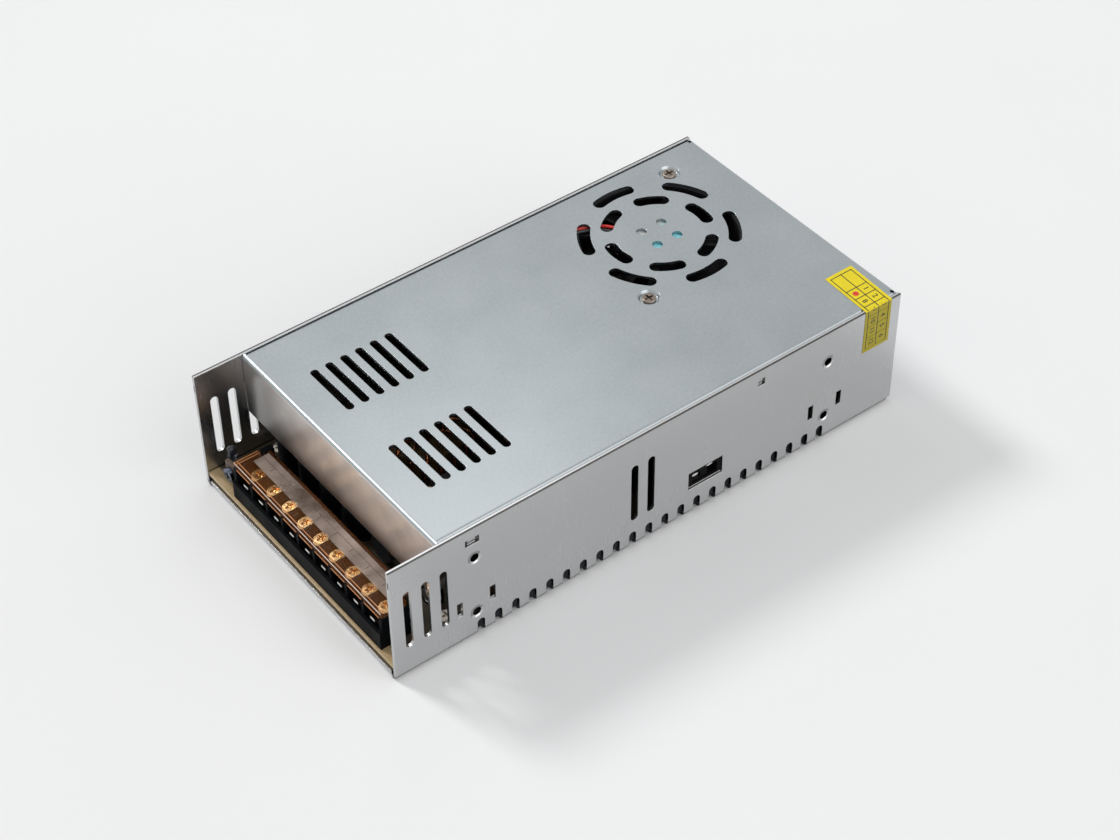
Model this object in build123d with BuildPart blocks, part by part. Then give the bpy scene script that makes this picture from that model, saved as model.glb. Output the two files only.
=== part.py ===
from build123d import *
from math import pi, radians, tan
import os

# Enclosed switching power supply. Millimetres, +Z up, -Y the terminal end.
# The origin is the middle of the underside. Places along the case are measured from its front.

# Case sheet
case_length = 215.0
case_width = 115.0
case_height = 50.0
sheet = 1.2
bend_inside = 1.0
tight_bend_inside = 0.3
bend_ease = 0.002
sheet_fit = 0.2
front_lip_height = 2.7
rear_lip_height = 12.0
lip_relief = 1.4

# Openings in the side walls
slot_width = 3.0
slot_length = 25.2
slot_middle = 25.1
slot_pitch = 7.0
end_slot_first = 6.3
end_slot_count = 3
middle_slot_first = 97.6
middle_slot_count = 2
window_width = 2.3
window_height = 6.2
window_middle = 16.2
window_offset = 6.5
notch_count = 22
notch_width = 3.0
notch_top = 7.0
notch_reach = 7.0

# Tapped mounting holes, with collars drawn inwards from the sheet
mount_first = 32.5
mount_span = 150.0
side_mount_low = 11.5
side_mount_rise = 25.0
base_mount_span = 50.0
m4_bore = 1.65
m4_collar = 3.0
collar_height = 1.8

# Cover
cover_start = 18.7
front_flange_bottom = 24.3
side_flange_depth = 8.5
cover_foot_gap = 0.5
corner_relief = 0.8
cover_slot_count = 6
cover_slot_first = 33.3
cover_slot_pitch = 6.0
cover_slot_length = 24.0
cover_slot_middle = 23.0
lance_below_top = 5.7
lance_depth = 0.9
lance_height = 2.8
lance_fit = 0.4
lance_places = ((32.0, 5.8), (152.0, 3.2))
cover_screw_span = 60.0
cover_screw_below = 4.5
countersink = 45.0
m3_bore = 1.25
m3_clear = 1.6

# Fan
fan_size = 60.0
fan_depth = 15.0
fan_x = -19.8
fan_from_rear = 44.4
fan_hole_span = 50.0
fan_hole = 2.15
fan_throat = 28.6
outer_ring = 27.0
outer_span = 27.5
inner_ring = 18.85
inner_span = 25.5
ring_slot_width = 4.8
ring_slot_count = 6
hub_hole = 1.9
hub_hole_span = 9.0
dimple_top = 4.0
dimple_floor = 3.2
dimple_depth = 1.1
dimple_wall = 0.8
strut_width = 3.0
strut_thickness = 1.8
strut_drop = 1.6
hub_radius = 14.5
hub_boss = 1.25
rotor_clearance = 0.6
rotor_wall = 1.2
rotor_top_gap = 0.8
rotor_bottom_gap = 1.2
fan_screw_head = 2.6
fan_screw_length = 8.0
shaft = 1.5
shaft_fit = 0.05
bearing_wall = 1.8
blade_count = 7
blade_tip_gap = 1.0
blade_thickness = 1.2
blade_pitch = 38.0
stator_gap = 0.6
fan_label_radius = 12.5
fan_label_thickness = 0.15

# Circuit board
board_thickness = 1.6
board_lift = 3.2
board_side_gap = 0.3
board_front_inset = 0.35
board_rear_gap = 2.4
standoff_radius = 2.6
board_screw_inset = 6.3
board_screw_middle_inset = 9.3
board_screw_first = 25.6
board_screw_middle = 86.5
board_screw_from_rear = 15.0
m3_head = 2.8
m3_head_height = 1.9
m3_length = 4.2
film_thickness = 0.3
film_side_gap = 12.3

# Terminal block
pole_count = 9
block_from_left = 15.8
block_from_right = 8.2
block_front = 0.95
block_depth = 16.25
block_end = 1.55
block_chin = 1.2
block_chin_height = 7.1
block_gutter = 2.5
block_floor = 7.2
block_floor_front = 3.45
barrier = 1.2
barrier_front = 1.05
barrier_rear = 11.05
barrier_height = 13.3
block_back = 2.0
block_back_height = 12.2
ear = 2.4
ear_front = 12.05
ear_height = 15.3
plate_thickness = 1.0
plate_side_gap = 0.15
plate_front = 1.95
plate_depth = 9.9
clamp_side_gap = 1.25
clamp_length = 7.0
clamp_thickness = 0.8
terminal_middle = 7.25
terminal_head = 3.1
terminal_head_height = 2.0
terminal_shank = 1.5
terminal_reach = 4.0
cross_width = 0.8
cross_length = 3.4
cross_depth = 1.0

# Hinged terminal cover
flap_gap = 0.3
flap_thickness = 1.4
flap_front = 1.25
flap_rim = 1.2
flap_rib_height = 0.6
flap_wide_rear = 11.25
hinge_y = 14.05
hinge_z = 14.0
hinge_barrel = 1.2
hinge_pin = 0.8
hinge_fit = 0.05
hinge_pin_length = 1.9
flap_side_gap = 0.3

# Lamp and output trimmer beside the block
lamp_from_left = 5.0
lamp_y = 7.6
lamp_radius = 1.5
lamp_rim = 1.9
lamp_rim_height = 0.9
lamp_height = 5.2
lamp_lift = 6.4
lead_radius = 0.25
lead_span = 2.54
trimmer_from_left = 9.8
trimmer_y = 4.2
trimmer_width = 7.8
trimmer_height = 8.8
trimmer_corner = 1.6
trimmer_thickness = 1.2
trimmer_rotor = 2.7
trimmer_rotor_depth = 1.6
trimmer_stem = 0.9
trimmer_gap = 0.2

# Voltage selector behind the right wall
selector_middle = 128.5
selector_height = 15.8
selector_window_length = 15.0
selector_window_height = 7.7
selector_body_length = 19.0
selector_body_height = 11.0
selector_body_depth = 7.0
selector_boss_gap = 0.2
selector_recess = 0.5
selector_slot_length = 11.0
selector_slot_height = 4.4
selector_slot_depth = 4.0
slider_length = 6.8
slider_gap = 0.1
slider_depth = 3.4
slider_groove = 1.0
pin_side = 0.8

# Date label over the right top edge
label_width = 12.0
label_from_rear = 16.3
label_on_top = 21.8
label_on_side = 18.7
label_thickness = 0.15
label_turn = 2.4

# Parts on the board. A place is where its x starts (-1 the left wall, 0 the middle, 1 the right wall),
# then the x from there and the distance from the front
bulk_places = ((1, -26.3, 84.0), (1, -26.3, 112.0))
bulk_radius = 12.5
bulk_height = 36.0
output_cap_places = ((-1, 15.8, 27.0), (-1, 29.0, 27.0), (-1, 42.2, 27.0), (-1, 55.4, 27.0))
output_cap_radius = 6.4
output_cap_height = 26.0
small_cap_places = ((0, 3.0, 158.0), (0, 3.0, 170.0), (0, 3.0, 182.0))
small_cap_radius = 4.0
small_cap_height = 12.0
can_shoulder = 0.6
can_rim = 1.4
can_sink = 0.5
choke_place = (-1, 35.8, 66.0)
choke_ring = 13.0
choke_core = 10.0
choke_edge = 1.0
choke_fit = 0.2
choke_wire = 1.5
choke_turns = 20
bobbin_foot = 3.0
bobbin_rail = 2.0
coil_fit = 0.3
coil_corner = 3.0
transformer_place = (-1, 36.3, 109.0)
transformer_core = (34.0, 12.0, 29.0)
transformer_leg = 5.5
transformer_coil_depth = 30.0
driver_place = (1, -34.3, 152.0)
driver_core = (16.0, 5.0, 14.0)
driver_leg = 2.4
driver_coil_depth = 13.0
filter_place = (1, -32.3, 50.0)
filter_core = (21.0, 8.0, 22.0)
filter_leg = 5.0
filter_coil_build = 2.4
film_cap_place = (1, -32.3, 66.5)
film_cap_size = (20.0, 8.0, 16.0)
film_cap_edge = 0.8
disc_cap_places = ((1, -6.3, 40.0), (1, -6.3, 46.5))
disc_cap_radius = 4.0
disc_cap_thickness = 3.0
lead_stand = 1.5
lead_side = 0.8
lead_pitch = 5.0
fuse_place = (1, -15.8, 34.0)
fuse_radius = 2.5
fuse_length = 20.0
fuse_cap = 5.0
fuse_lift = 1.4
clip_thickness = 0.5
thermistor_place = (1, -39.8, 25.0)
thermistor_radius = 5.5
thermistor_thickness = 4.0
bridge_place = (1, -8.3, 64.0)
bridge_size = (3.6, 20.0, 16.0)
bridge_lift = 3.0
bridge_corner = 3.0
primary_sink_place = (1, -16.3, 163.0)
primary_sink_length = 44.0
output_sink_place = (-1, 5.3, 110.0)
output_sink_length = 42.0
sink_height = 30.0
sink_plate = 3.0
fin_count = 5
fin_length = 10.0
fin_thickness = 1.4
package_size = (5.0, 15.6, 20.0)
package_lift = 5.0
device_spread = 22.0
device_hole_above = 14.5
chip_place = (0, -12.0, 152.0)
chip_size = (6.4, 20.0, 3.4)
coupler_place = (0, -12.0, 174.0)
coupler_size = (6.4, 4.8, 3.4)
chip_lift = 0.9
chip_pin_pitch = 2.54
resistor_places = (
    (-1, 20.3, 150.0),
    (-1, 20.3, 156.0),
    (-1, 20.3, 176.0),
    (-1, 20.3, 182.0),
    (1, -34.3, 176.0),
    (1, -34.3, 182.0),
)
resistor_radius = 1.6
resistor_length = 9.0
resistor_lift = 0.6
resistor_edge = 0.5
header_y_before_fan = 35.0
lead_exit_before_fan = 21.5
lead_at_hub = (-10.4, -8.3)
lead_on_strut = (-17.5, -13.0)
lead_off_strut = 22.0
lead_past_frame = 37.0
lead_going_down = 38.5
lead_bend_above_plug = 20.0
lead_straight = 10.0
lead_notch = 5.6
header_size = (7.4, 5.8, 4.0)
plug_size = (5.6, 4.2, 6.0)
wire_radius = 0.65
wire_pair = 1.7

# Worked out from the sizes above
front = -case_length / 2
rear = case_length / 2
wall_out = case_width / 2
wall_in = wall_out - sheet
bend_outside = bend_inside + sheet
bend_middle = bend_inside + sheet / 2
tight_bend_outside = tight_bend_inside + sheet
tight_bend_middle = tight_bend_inside + sheet / 2
tray_rear = rear - sheet - sheet_fit
cover_half = wall_in - sheet_fit
cover_under = case_height - sheet
lip_half = wall_in - lip_relief
mount_middle = front + mount_first + mount_span / 2
block_x = (block_from_left - block_from_right) / 2
block_length = 2 * wall_in - block_from_left - block_from_right
pole_pitch = (block_length - 2 * block_end) / pole_count
lamp_x = lamp_from_left - wall_in
trimmer_x = trimmer_from_left - wall_in
board_bottom = sheet + board_lift
board_top = board_bottom + board_thickness
board_half = wall_in - board_side_gap
board_front = front + board_front_inset
board_rear = rear - board_rear_gap - 2 * sheet
film_front = front + bend_outside + sheet_fit
fan_y = rear - fan_from_rear
fan_bottom = cover_under - fan_depth
fan_screw_places = [(fan_x + side * fan_hole_span / 2, fan_y - side * fan_hole_span / 2) for side in (-1, 1)]


def along(distance):
    """Y of a place measured from the front of the case."""
    return front + distance


def on_board(places):
    """XY points of parts that stand on the board."""
    return [(side * wall_in + x, along(y)) for side, x, y in places]


def row(first, pitch, count, height):
    """Points of an even row along the case, for a sketch on a YZ plane."""
    return [(along(first + pitch * i), height) for i in range(count)]


def lock_outline(side, face, y, length):
    """Corners of a lock with sloping ends, pressed inwards from a wall face."""
    corners = ((0, -1 / 2), (lance_depth, -1 / 4), (lance_depth, 1 / 4), (0, 1 / 2))
    return [(side * (face - depth), along(y) + side * share * length) for depth, share in corners]


def save(piece, name):
    """Label a finished piece and write it to its own file."""
    piece.part.label = name
    export_step(piece.part, f"parts/{name}.step")


os.makedirs("parts", exist_ok=True)

mount_rows = [along(mount_first), along(mount_first + mount_span)]
side_mount_heights = [side_mount_low, side_mount_low + side_mount_rise]
side_mounts = [(y, z) for y in mount_rows for z in side_mount_heights]
windows = [(y + side * window_offset, window_middle) for y in mount_rows for side in (-1, 1)]
notch_rows = [mount_middle + slot_pitch * (i - (notch_count - 1) / 2) for i in range(notch_count)]
lance_z = case_height - lance_below_top
selector_y = along(selector_middle)
cover_screw_z = rear_lip_height - cover_screw_below
cover_screw_places = [(side * cover_screw_span / 2, cover_screw_z) for side in (-1, 1)]

# Chassis: one folded sheet, a floor with two side walls and lips at both ends
with BuildPart() as chassis:
    with BuildSketch(Plane.XZ.offset(-tray_rear)):
        with BuildLine():
            FilletPolyline(
                (sheet / 2 - wall_out, case_height),
                (sheet / 2 - wall_out, sheet / 2),
                (wall_out - sheet / 2, sheet / 2),
                (wall_out - sheet / 2, case_height),
                radius=bend_middle,
            )
        trace(line_width=sheet)
    extrude(amount=case_length - sheet - sheet_fit)
    # The walls run on past the floor, level with the cover's rear wall
    with BuildSketch(Plane.XY.offset(bend_outside)):
        for side in (-1, 1):
            with Locations((side * (wall_out - sheet / 2), (tray_rear + rear) / 2)):
                Rectangle(sheet, rear - tray_rear)
    extrude(amount=case_height - bend_outside)
    # End strips of the floor are cleared for the lips and their corner reliefs
    with BuildSketch(Plane.XY):
        for y, toward in ((front, 1), (tray_rear, -1)):
            with Locations((0, y + toward * tight_bend_outside / 2)):
                Rectangle(2 * (wall_in - bend_inside), tight_bend_outside)
    extrude(amount=sheet, mode=Mode.SUBTRACT)
    with BuildSketch(Plane.YZ.offset(-lip_half)):
        for y, toward, height in ((front, 1, front_lip_height), (tray_rear, -1, rear_lip_height)):
            with BuildLine():
                FilletPolyline(
                    (y + toward * sheet / 2, height),
                    (y + toward * sheet / 2, sheet / 2),
                    (y + toward * tight_bend_outside, sheet / 2),
                    radius=tight_bend_middle - bend_ease,
                )
            trace(line_width=sheet)
    extrude(amount=2 * lip_half)
    # Collars round the tapped holes
    with BuildSketch(Plane.YZ.offset(wall_in)):
        with Locations(*side_mounts):
            Circle(m4_collar)
    extrude(amount=-collar_height)
    with BuildSketch(Plane.YZ.offset(-wall_in)):
        with Locations(*side_mounts):
            Circle(m4_collar)
    extrude(amount=collar_height)
    with BuildSketch(Plane.XY.offset(sheet)):
        with Locations((0, mount_middle)):
            with GridLocations(base_mount_span, mount_span, 2, 2):
                Circle(m4_collar)
    extrude(amount=collar_height)
    # Locks pressed inwards near the top of each wall
    for face, mode in ((wall_in, Mode.ADD), (wall_out, Mode.SUBTRACT)):
        with BuildSketch(Plane.XY.offset(lance_z - lance_height / 2)):
            for y, length in lance_places:
                for side in (-1, 1):
                    Polygon(*lock_outline(side, face, y, length), align=None)
        extrude(amount=lance_height, mode=mode)
    # Bores and openings through both side walls
    with BuildSketch(Plane.YZ.offset(-wall_out)):
        with Locations(*side_mounts):
            Circle(m4_bore)
        with Locations(*row(end_slot_first, slot_pitch, end_slot_count, slot_middle)):
            SlotOverall(slot_length, slot_width, rotation=90)
        with Locations(*row(middle_slot_first, slot_pitch, middle_slot_count, slot_middle)):
            SlotOverall(slot_length, slot_width, rotation=90)
        with Locations(*windows):
            Rectangle(window_width, window_height)
    extrude(amount=case_width, mode=Mode.SUBTRACT)
    with BuildSketch(Plane.YZ.offset(wall_in - bend_inside)):
        with Locations((selector_y, selector_height)):
            Rectangle(selector_window_length, selector_window_height)
    extrude(amount=sheet + bend_inside, mode=Mode.SUBTRACT)
    # Vent notches across the bottom bends: round on the wall and round on the floor
    for side in (-1, 1):
        with BuildSketch(Plane.YZ.offset(side * wall_out)):
            with Locations(*[(y, 0) for y in notch_rows]):
                SlotOverall(2 * notch_top, notch_width, rotation=90)
        extrude(amount=-side * bend_outside, mode=Mode.SUBTRACT)
        with BuildSketch(Plane.XY):
            with Locations(*[(side * wall_out, y) for y in notch_rows]):
                SlotOverall(2 * notch_reach, notch_width)
        extrude(amount=bend_outside, mode=Mode.SUBTRACT)
    with BuildSketch(Plane.XY):
        with Locations((0, mount_middle)):
            with GridLocations(base_mount_span, mount_span, 2, 2):
                Circle(m4_bore)
    extrude(amount=sheet + collar_height, mode=Mode.SUBTRACT)
    with BuildSketch(Plane.XZ.offset(-tray_rear)):
        with Locations(*cover_screw_places):
            Circle(m3_bore)
    extrude(amount=sheet, mode=Mode.SUBTRACT)
save(chassis, "chassis")

# Cover: one folded sheet between the side walls, with a short front flange and a full rear wall
with BuildPart() as top_cover:
    with BuildSketch(Plane.XZ.offset(-rear)):
        with BuildLine():
            FilletPolyline(
                (sheet / 2 - cover_half, case_height - side_flange_depth),
                (sheet / 2 - cover_half, case_height - sheet / 2),
                (cover_half - sheet / 2, case_height - sheet / 2),
                (cover_half - sheet / 2, case_height - side_flange_depth),
                radius=tight_bend_middle,
            )
        trace(line_width=sheet)
    extrude(amount=case_length - cover_start)
    with BuildSketch(Plane.YZ):
        for y in (along(cover_start) + tight_bend_outside / 2, rear - tight_bend_outside / 2):
            with Locations((y, case_height - side_flange_depth / 2)):
                Rectangle(tight_bend_outside, side_flange_depth)
    extrude(amount=cover_half, both=True, mode=Mode.SUBTRACT)
    with BuildSketch(Plane.YZ.offset(-cover_half)):
        cover_ends = ((along(cover_start), 1, front_flange_bottom), (rear, -1, cover_foot_gap))
        for y, toward, foot in cover_ends:
            with BuildLine():
                FilletPolyline(
                    (y + toward * sheet / 2, foot),
                    (y + toward * sheet / 2, case_height - sheet / 2),
                    (y + toward * tight_bend_outside, case_height - sheet / 2),
                    radius=tight_bend_middle - bend_ease,
                )
            trace(line_width=sheet)
    extrude(amount=2 * cover_half)
    # Round reliefs where two bends meet at the rear corners
    with BuildSketch(Plane.XY.offset(case_height)):
        for side in (-1, 1):
            with Locations((side * (cover_half - tight_bend_outside), rear - tight_bend_outside)):
                Circle(corner_relief)
    extrude(amount=-tight_bend_outside, mode=Mode.SUBTRACT)
    # Recesses that take the fan screws on one diagonal
    for place in fan_screw_places:
        with Locations((*place, case_height - (dimple_depth + dimple_wall) / 2)):
            Cone(dimple_floor + dimple_wall, dimple_top + dimple_wall, dimple_depth + dimple_wall)
        with Locations((*place, case_height - dimple_depth / 2)):
            Cone(dimple_floor, dimple_top, dimple_depth, mode=Mode.SUBTRACT)
        with Locations((*place, case_height - dimple_depth)):
            Cylinder(fan_hole + sheet_fit, 4 * sheet, mode=Mode.SUBTRACT)
    # Grille over the fan: two staggered rings of six slots and four round holes
    with BuildSketch(Plane.XY.offset(case_height)):
        with Locations((fan_x, fan_y)):
            with PolarLocations(0, ring_slot_count):
                SlotArc(CenterArc((0, 0), outer_ring, -outer_span / 2, outer_span), ring_slot_width)
            with PolarLocations(0, ring_slot_count, start_angle=180 / ring_slot_count):
                SlotArc(CenterArc((0, 0), inner_ring, -inner_span / 2, inner_span), ring_slot_width)
            with GridLocations(hub_hole_span, hub_hole_span, 2, 2):
                Circle(hub_hole)
        for side in (-1, 1):
            for i in range(cover_slot_count):
                with Locations((side * cover_slot_middle, along(cover_slot_first + cover_slot_pitch * i))):
                    SlotOverall(cover_slot_length, slot_width)
    extrude(amount=-sheet, mode=Mode.SUBTRACT)
    # Windows in the side flanges that the wall locks snap into
    with BuildSketch(Plane.YZ.offset(-cover_half)):
        for y, length in lance_places:
            with Locations((along(y), lance_z)):
                Rectangle(length + 2 * lance_fit, lance_height + 2 * lance_fit)
    extrude(amount=2 * cover_half, mode=Mode.SUBTRACT)
    with BuildSketch(Plane.XZ.offset(-rear)):
        with Locations(*cover_screw_places):
            Circle(m3_head + sheet_fit)
    extrude(amount=sheet, taper=countersink, mode=Mode.SUBTRACT)
save(top_cover, "top_cover")


def cross_cut(plane, places, length=cross_length):
    """Cross recesses cut into screw heads, down from the plane of their tops."""
    with BuildSketch(plane) as cross:
        with Locations(*places):
            Rectangle(length, cross_width)
            Rectangle(cross_width, length)
    extrude(cross.sketch, amount=-cross_depth, mode=Mode.SUBTRACT)


def posts(plane, places, radius, length, mode=Mode.ADD):
    """Round posts of one size raised from a plane, or round holes sunk into it."""
    with BuildSketch(plane) as rounds:
        with Locations(*places):
            Circle(radius)
    extrude(rounds.sketch, amount=length, mode=mode)


def blocks(plane, places, wide, deep, length, mode=Mode.ADD):
    """Square-edged blocks of one size raised from a plane, or pockets sunk into it."""
    with BuildSketch(plane) as squares:
        with Locations(*places):
            Rectangle(wide, deep)
    extrude(squares.sketch, amount=length, mode=mode)


# Countersunk screws that hold the cover's rear wall to the rear lip
with BuildPart() as cover_screws:
    with BuildSketch(Plane.XZ.offset(-rear)):
        with Locations(*cover_screw_places):
            Circle(m3_head)
    extrude(amount=sheet, taper=countersink)
    posts(Plane.XZ.offset(-rear), cover_screw_places, m3_bore, 2 * (sheet + sheet_fit))
    cross_cut(Plane.back.offset(rear), cover_screw_places)
save(cover_screws, "cover_screws")

# Insulation film on the floor, under the board
with BuildPart() as insulation_sheet:
    with BuildSketch(Plane.XY.offset(sheet)):
        with Locations((0, (film_front + board_rear) / 2)):
            Rectangle(2 * (wall_in - film_side_gap), board_rear - film_front)
        with Locations((0, mount_middle)):
            with GridLocations(base_mount_span, mount_span, 2, 2):
                Circle(m4_collar + sheet_fit, mode=Mode.SUBTRACT)
    extrude(amount=film_thickness)
save(insulation_sheet, "insulation_sheet")

# Standoffs riveted to the floor, the board on them, and its screws
standoff_rows = (
    (board_screw_inset, along(board_screw_first)),
    (board_screw_middle_inset, along(board_screw_middle)),
    (board_screw_inset, rear - board_screw_from_rear),
)
standoff_places = [(side * (wall_in - inset), y) for inset, y in standoff_rows for side in (-1, 1)]
with BuildPart() as board_standoffs:
    posts(Plane.XY.offset(sheet), standoff_places, standoff_radius, board_lift)
    posts(Plane.XY.offset(sheet), standoff_places, m3_bore, board_lift, Mode.SUBTRACT)
save(board_standoffs, "board_standoffs")

with BuildPart() as main_board:
    with BuildSketch(Plane.XY.offset(board_bottom)):
        with Locations((0, (board_front + board_rear) / 2)):
            Rectangle(2 * board_half, board_rear - board_front)
        with Locations(*standoff_places):
            Circle(m3_clear, mode=Mode.SUBTRACT)
    extrude(amount=board_thickness)
save(main_board, "main_board")

with BuildPart() as board_screws:
    posts(Plane.XY.offset(board_top), standoff_places, m3_head, m3_head_height)
    fillet(board_screws.edges().group_by(Axis.Z)[-1], m3_head_height / 3)
    posts(Plane.XY.offset(board_top), standoff_places, m3_bore, -m3_length)
    cross_cut(Plane.XY.offset(board_top + m3_head_height), standoff_places)
save(board_screws, "board_screws")

# Terminal block: black housing with a chin, a stepped floor, barriers and two hinge ears
block_y = along(block_front)
block_half = block_length / 2
block_middle = block_y + block_depth / 2
pole_x = [block_x + pole_pitch * (i - (pole_count - 1) / 2) for i in range(pole_count)]
barrier_x = [block_x + pole_pitch * (i - pole_count / 2) for i in range(1, pole_count)]
end_x = [block_x + side * (block_half - block_end / 2) for side in (-1, 1)]
ear_x = [block_x + side * (block_half - ear / 2) for side in (-1, 1)]
axis_y = block_y + hinge_y
axis_z = board_top + hinge_z
terminal_places = [(x, block_y + terminal_middle) for x in pole_x]
plate_top = board_top + block_floor + plate_thickness
with BuildPart() as terminal_block:
    with BuildSketch(Plane.XY.offset(board_top)):
        with Locations((block_x, block_y + block_chin / 2)):
            Rectangle(block_length, block_chin)
    extrude(amount=block_chin_height)
    with BuildSketch(Plane.XY.offset(board_top)):
        with Locations((block_x, block_middle + block_floor_front / 2)):
            Rectangle(block_length, block_depth - block_floor_front)
    extrude(amount=block_floor)
    # A shallow gutter between the chin and the stepped floor
    with BuildSketch(Plane.XY.offset(board_top)):
        with Locations((block_x, block_y + (block_chin + block_floor_front) / 2)):
            Rectangle(block_length, block_floor_front - block_chin)
    extrude(amount=block_chin_height - block_gutter)
    with BuildSketch(Plane.XY.offset(board_top)):
        for x in barrier_x:
            with Locations((x, block_middle + barrier_front / 2)):
                Rectangle(barrier, block_depth - barrier_front)
        for x in end_x:
            with Locations((x, block_middle + barrier_front / 2)):
                Rectangle(block_end, block_depth - barrier_front)
    extrude(amount=block_back_height)
    # Ahead of the hinge the barriers and ends stand taller
    with BuildSketch(Plane.XY.offset(board_top)):
        for x, thickness in [(x, barrier) for x in barrier_x] + [(x, block_end) for x in end_x]:
            with Locations((x, block_y + (barrier_front + barrier_rear) / 2)):
                Rectangle(thickness, barrier_rear - barrier_front)
    extrude(amount=barrier_height)
    with BuildSketch(Plane.XY.offset(board_top)):
        with Locations((block_x, block_y + block_depth - block_back / 2)):
            Rectangle(block_length, block_back)
    extrude(amount=block_back_height)
    with BuildSketch(Plane.XY.offset(board_top)):
        for x in ear_x:
            with Locations((x, block_y + (ear_front + block_depth) / 2)):
                Rectangle(ear, block_depth - ear_front)
    extrude(amount=ear_height)
    with BuildSketch(Plane.YZ.offset(block_x - block_half)):
        with Locations((axis_y, axis_z)):
            Circle(hinge_pin + hinge_fit)
    extrude(amount=block_length, mode=Mode.SUBTRACT)
    block_step = Plane.XY.offset(board_top + block_floor)
    posts(block_step, terminal_places, terminal_shank, -terminal_reach, Mode.SUBTRACT)
save(terminal_block, "terminal_block")

with BuildPart() as terminal_plates:
    with BuildSketch(Plane.XY.offset(board_top + block_floor)):
        with Locations(*[(x, block_y + plate_front + plate_depth / 2) for x in pole_x]):
            Rectangle(pole_pitch - barrier - 2 * plate_side_gap, plate_depth)
        with Locations(*terminal_places):
            Circle(terminal_shank, mode=Mode.SUBTRACT)
    extrude(amount=plate_thickness)
save(terminal_plates, "terminal_plates")

with BuildPart() as terminal_clamps:
    with BuildSketch(Plane.XY.offset(plate_top)):
        with Locations(*terminal_places):
            Rectangle(pole_pitch - 2 * clamp_side_gap, clamp_length)
            Circle(terminal_shank, mode=Mode.SUBTRACT)
    extrude(amount=clamp_thickness)
save(terminal_clamps, "terminal_clamps")

terminal_screw_seat = plate_top + clamp_thickness
with BuildPart() as terminal_screws:
    posts(Plane.XY.offset(terminal_screw_seat), terminal_places, terminal_head, terminal_head_height)
    fillet(terminal_screws.edges().group_by(Axis.Z)[-1], terminal_head_height / 3)
    screw_reach = terminal_screw_seat - board_top - block_floor + terminal_reach
    posts(Plane.XY.offset(terminal_screw_seat), terminal_places, terminal_shank, -screw_reach)
    cross_cut(Plane.XY.offset(terminal_screw_seat + terminal_head_height), terminal_places)
save(terminal_screws, "terminal_screws")

# Hinged amber cover: a plate with a raised rim at the front and ends, on a barrel between the ears
flap_under = board_top + barrier_height + flap_gap
flap_half = block_half - flap_side_gap
barrel_half = block_half - ear - flap_side_gap
with BuildPart() as terminal_cover:
    with BuildSketch(Plane.XY.offset(flap_under)):
        with Locations((block_x, block_y + (flap_front + flap_wide_rear) / 2)):
            Rectangle(2 * flap_half, flap_wide_rear - flap_front)
        with Locations((block_x, block_y + (flap_wide_rear + hinge_y) / 2)):
            Rectangle(2 * barrel_half, hinge_y - flap_wide_rear)
    extrude(amount=flap_thickness)
    with BuildSketch(Plane.XY.offset(flap_under + flap_thickness)):
        for x in end_x:
            with Locations((x, block_y + (flap_front + flap_wide_rear) / 2)):
                Rectangle(block_end - 2 * flap_side_gap, flap_wide_rear - flap_front)
        with Locations((block_x, block_y + flap_front + flap_rim / 2)):
            Rectangle(2 * flap_half, flap_rim)
    extrude(amount=flap_rib_height)
    with BuildSketch(Plane.YZ.offset(block_x - barrel_half)):
        with Locations((axis_y, axis_z)):
            Circle(hinge_barrel)
    extrude(amount=2 * barrel_half)
    with BuildSketch(Plane.YZ.offset(block_x - barrel_half - hinge_pin_length)):
        with Locations((axis_y, axis_z)):
            Circle(hinge_pin)
    extrude(amount=2 * (barrel_half + hinge_pin_length))
save(terminal_cover, "terminal_cover")

# Indicator lamp standing on two long leads
with BuildPart() as indicator_lamp:
    with BuildSketch(Plane.XY.offset(board_top + lamp_lift)):
        with Locations((lamp_x, along(lamp_y))):
            Circle(lamp_rim)
    extrude(amount=lamp_rim_height)
    with BuildSketch(Plane.XY.offset(board_top + lamp_lift)):
        with Locations((lamp_x, along(lamp_y))):
            Circle(lamp_radius)
    extrude(amount=lamp_height - lamp_radius)
    with Locations((lamp_x, along(lamp_y), board_top + lamp_lift + lamp_height - lamp_radius)):
        Sphere(lamp_radius)
    lamp_leads = [(lamp_x, along(lamp_y) + side * lead_span / 2) for side in (-1, 1)]
    posts(Plane.XY.offset(board_top), lamp_leads, lead_radius, lamp_lift)
save(indicator_lamp, "indicator_lamp")

# Output trimmer: an upright wafer with a turning disc on its front
trimmer_face = along(trimmer_y)
trimmer_axis_z = board_top + trimmer_height / 2
with BuildPart() as trimmer_body:
    with BuildSketch(Plane.XZ.offset(-trimmer_face - trimmer_thickness)):
        with Locations((trimmer_x, trimmer_axis_z)):
            RectangleRounded(trimmer_width, trimmer_height, trimmer_corner)
            Circle(trimmer_stem + shaft_fit, mode=Mode.SUBTRACT)
    extrude(amount=trimmer_thickness)
save(trimmer_body, "trimmer_body")

with BuildPart() as trimmer_disc:
    with BuildSketch(Plane.XZ.offset(-trimmer_face + trimmer_gap)):
        with Locations((trimmer_x, trimmer_axis_z)):
            Circle(trimmer_rotor)
    extrude(amount=trimmer_rotor_depth)
    trimmer_top = Plane.XZ.offset(-trimmer_face + trimmer_gap + trimmer_rotor_depth)
    cross_cut(trimmer_top, [(trimmer_x, trimmer_axis_z)])
    with BuildSketch(Plane.XZ.offset(-trimmer_face + trimmer_gap)):
        with Locations((trimmer_x, trimmer_axis_z)):
            Circle(trimmer_stem)
    extrude(amount=-trimmer_gap - trimmer_thickness)
save(trimmer_disc, "trimmer_disc")

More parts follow.
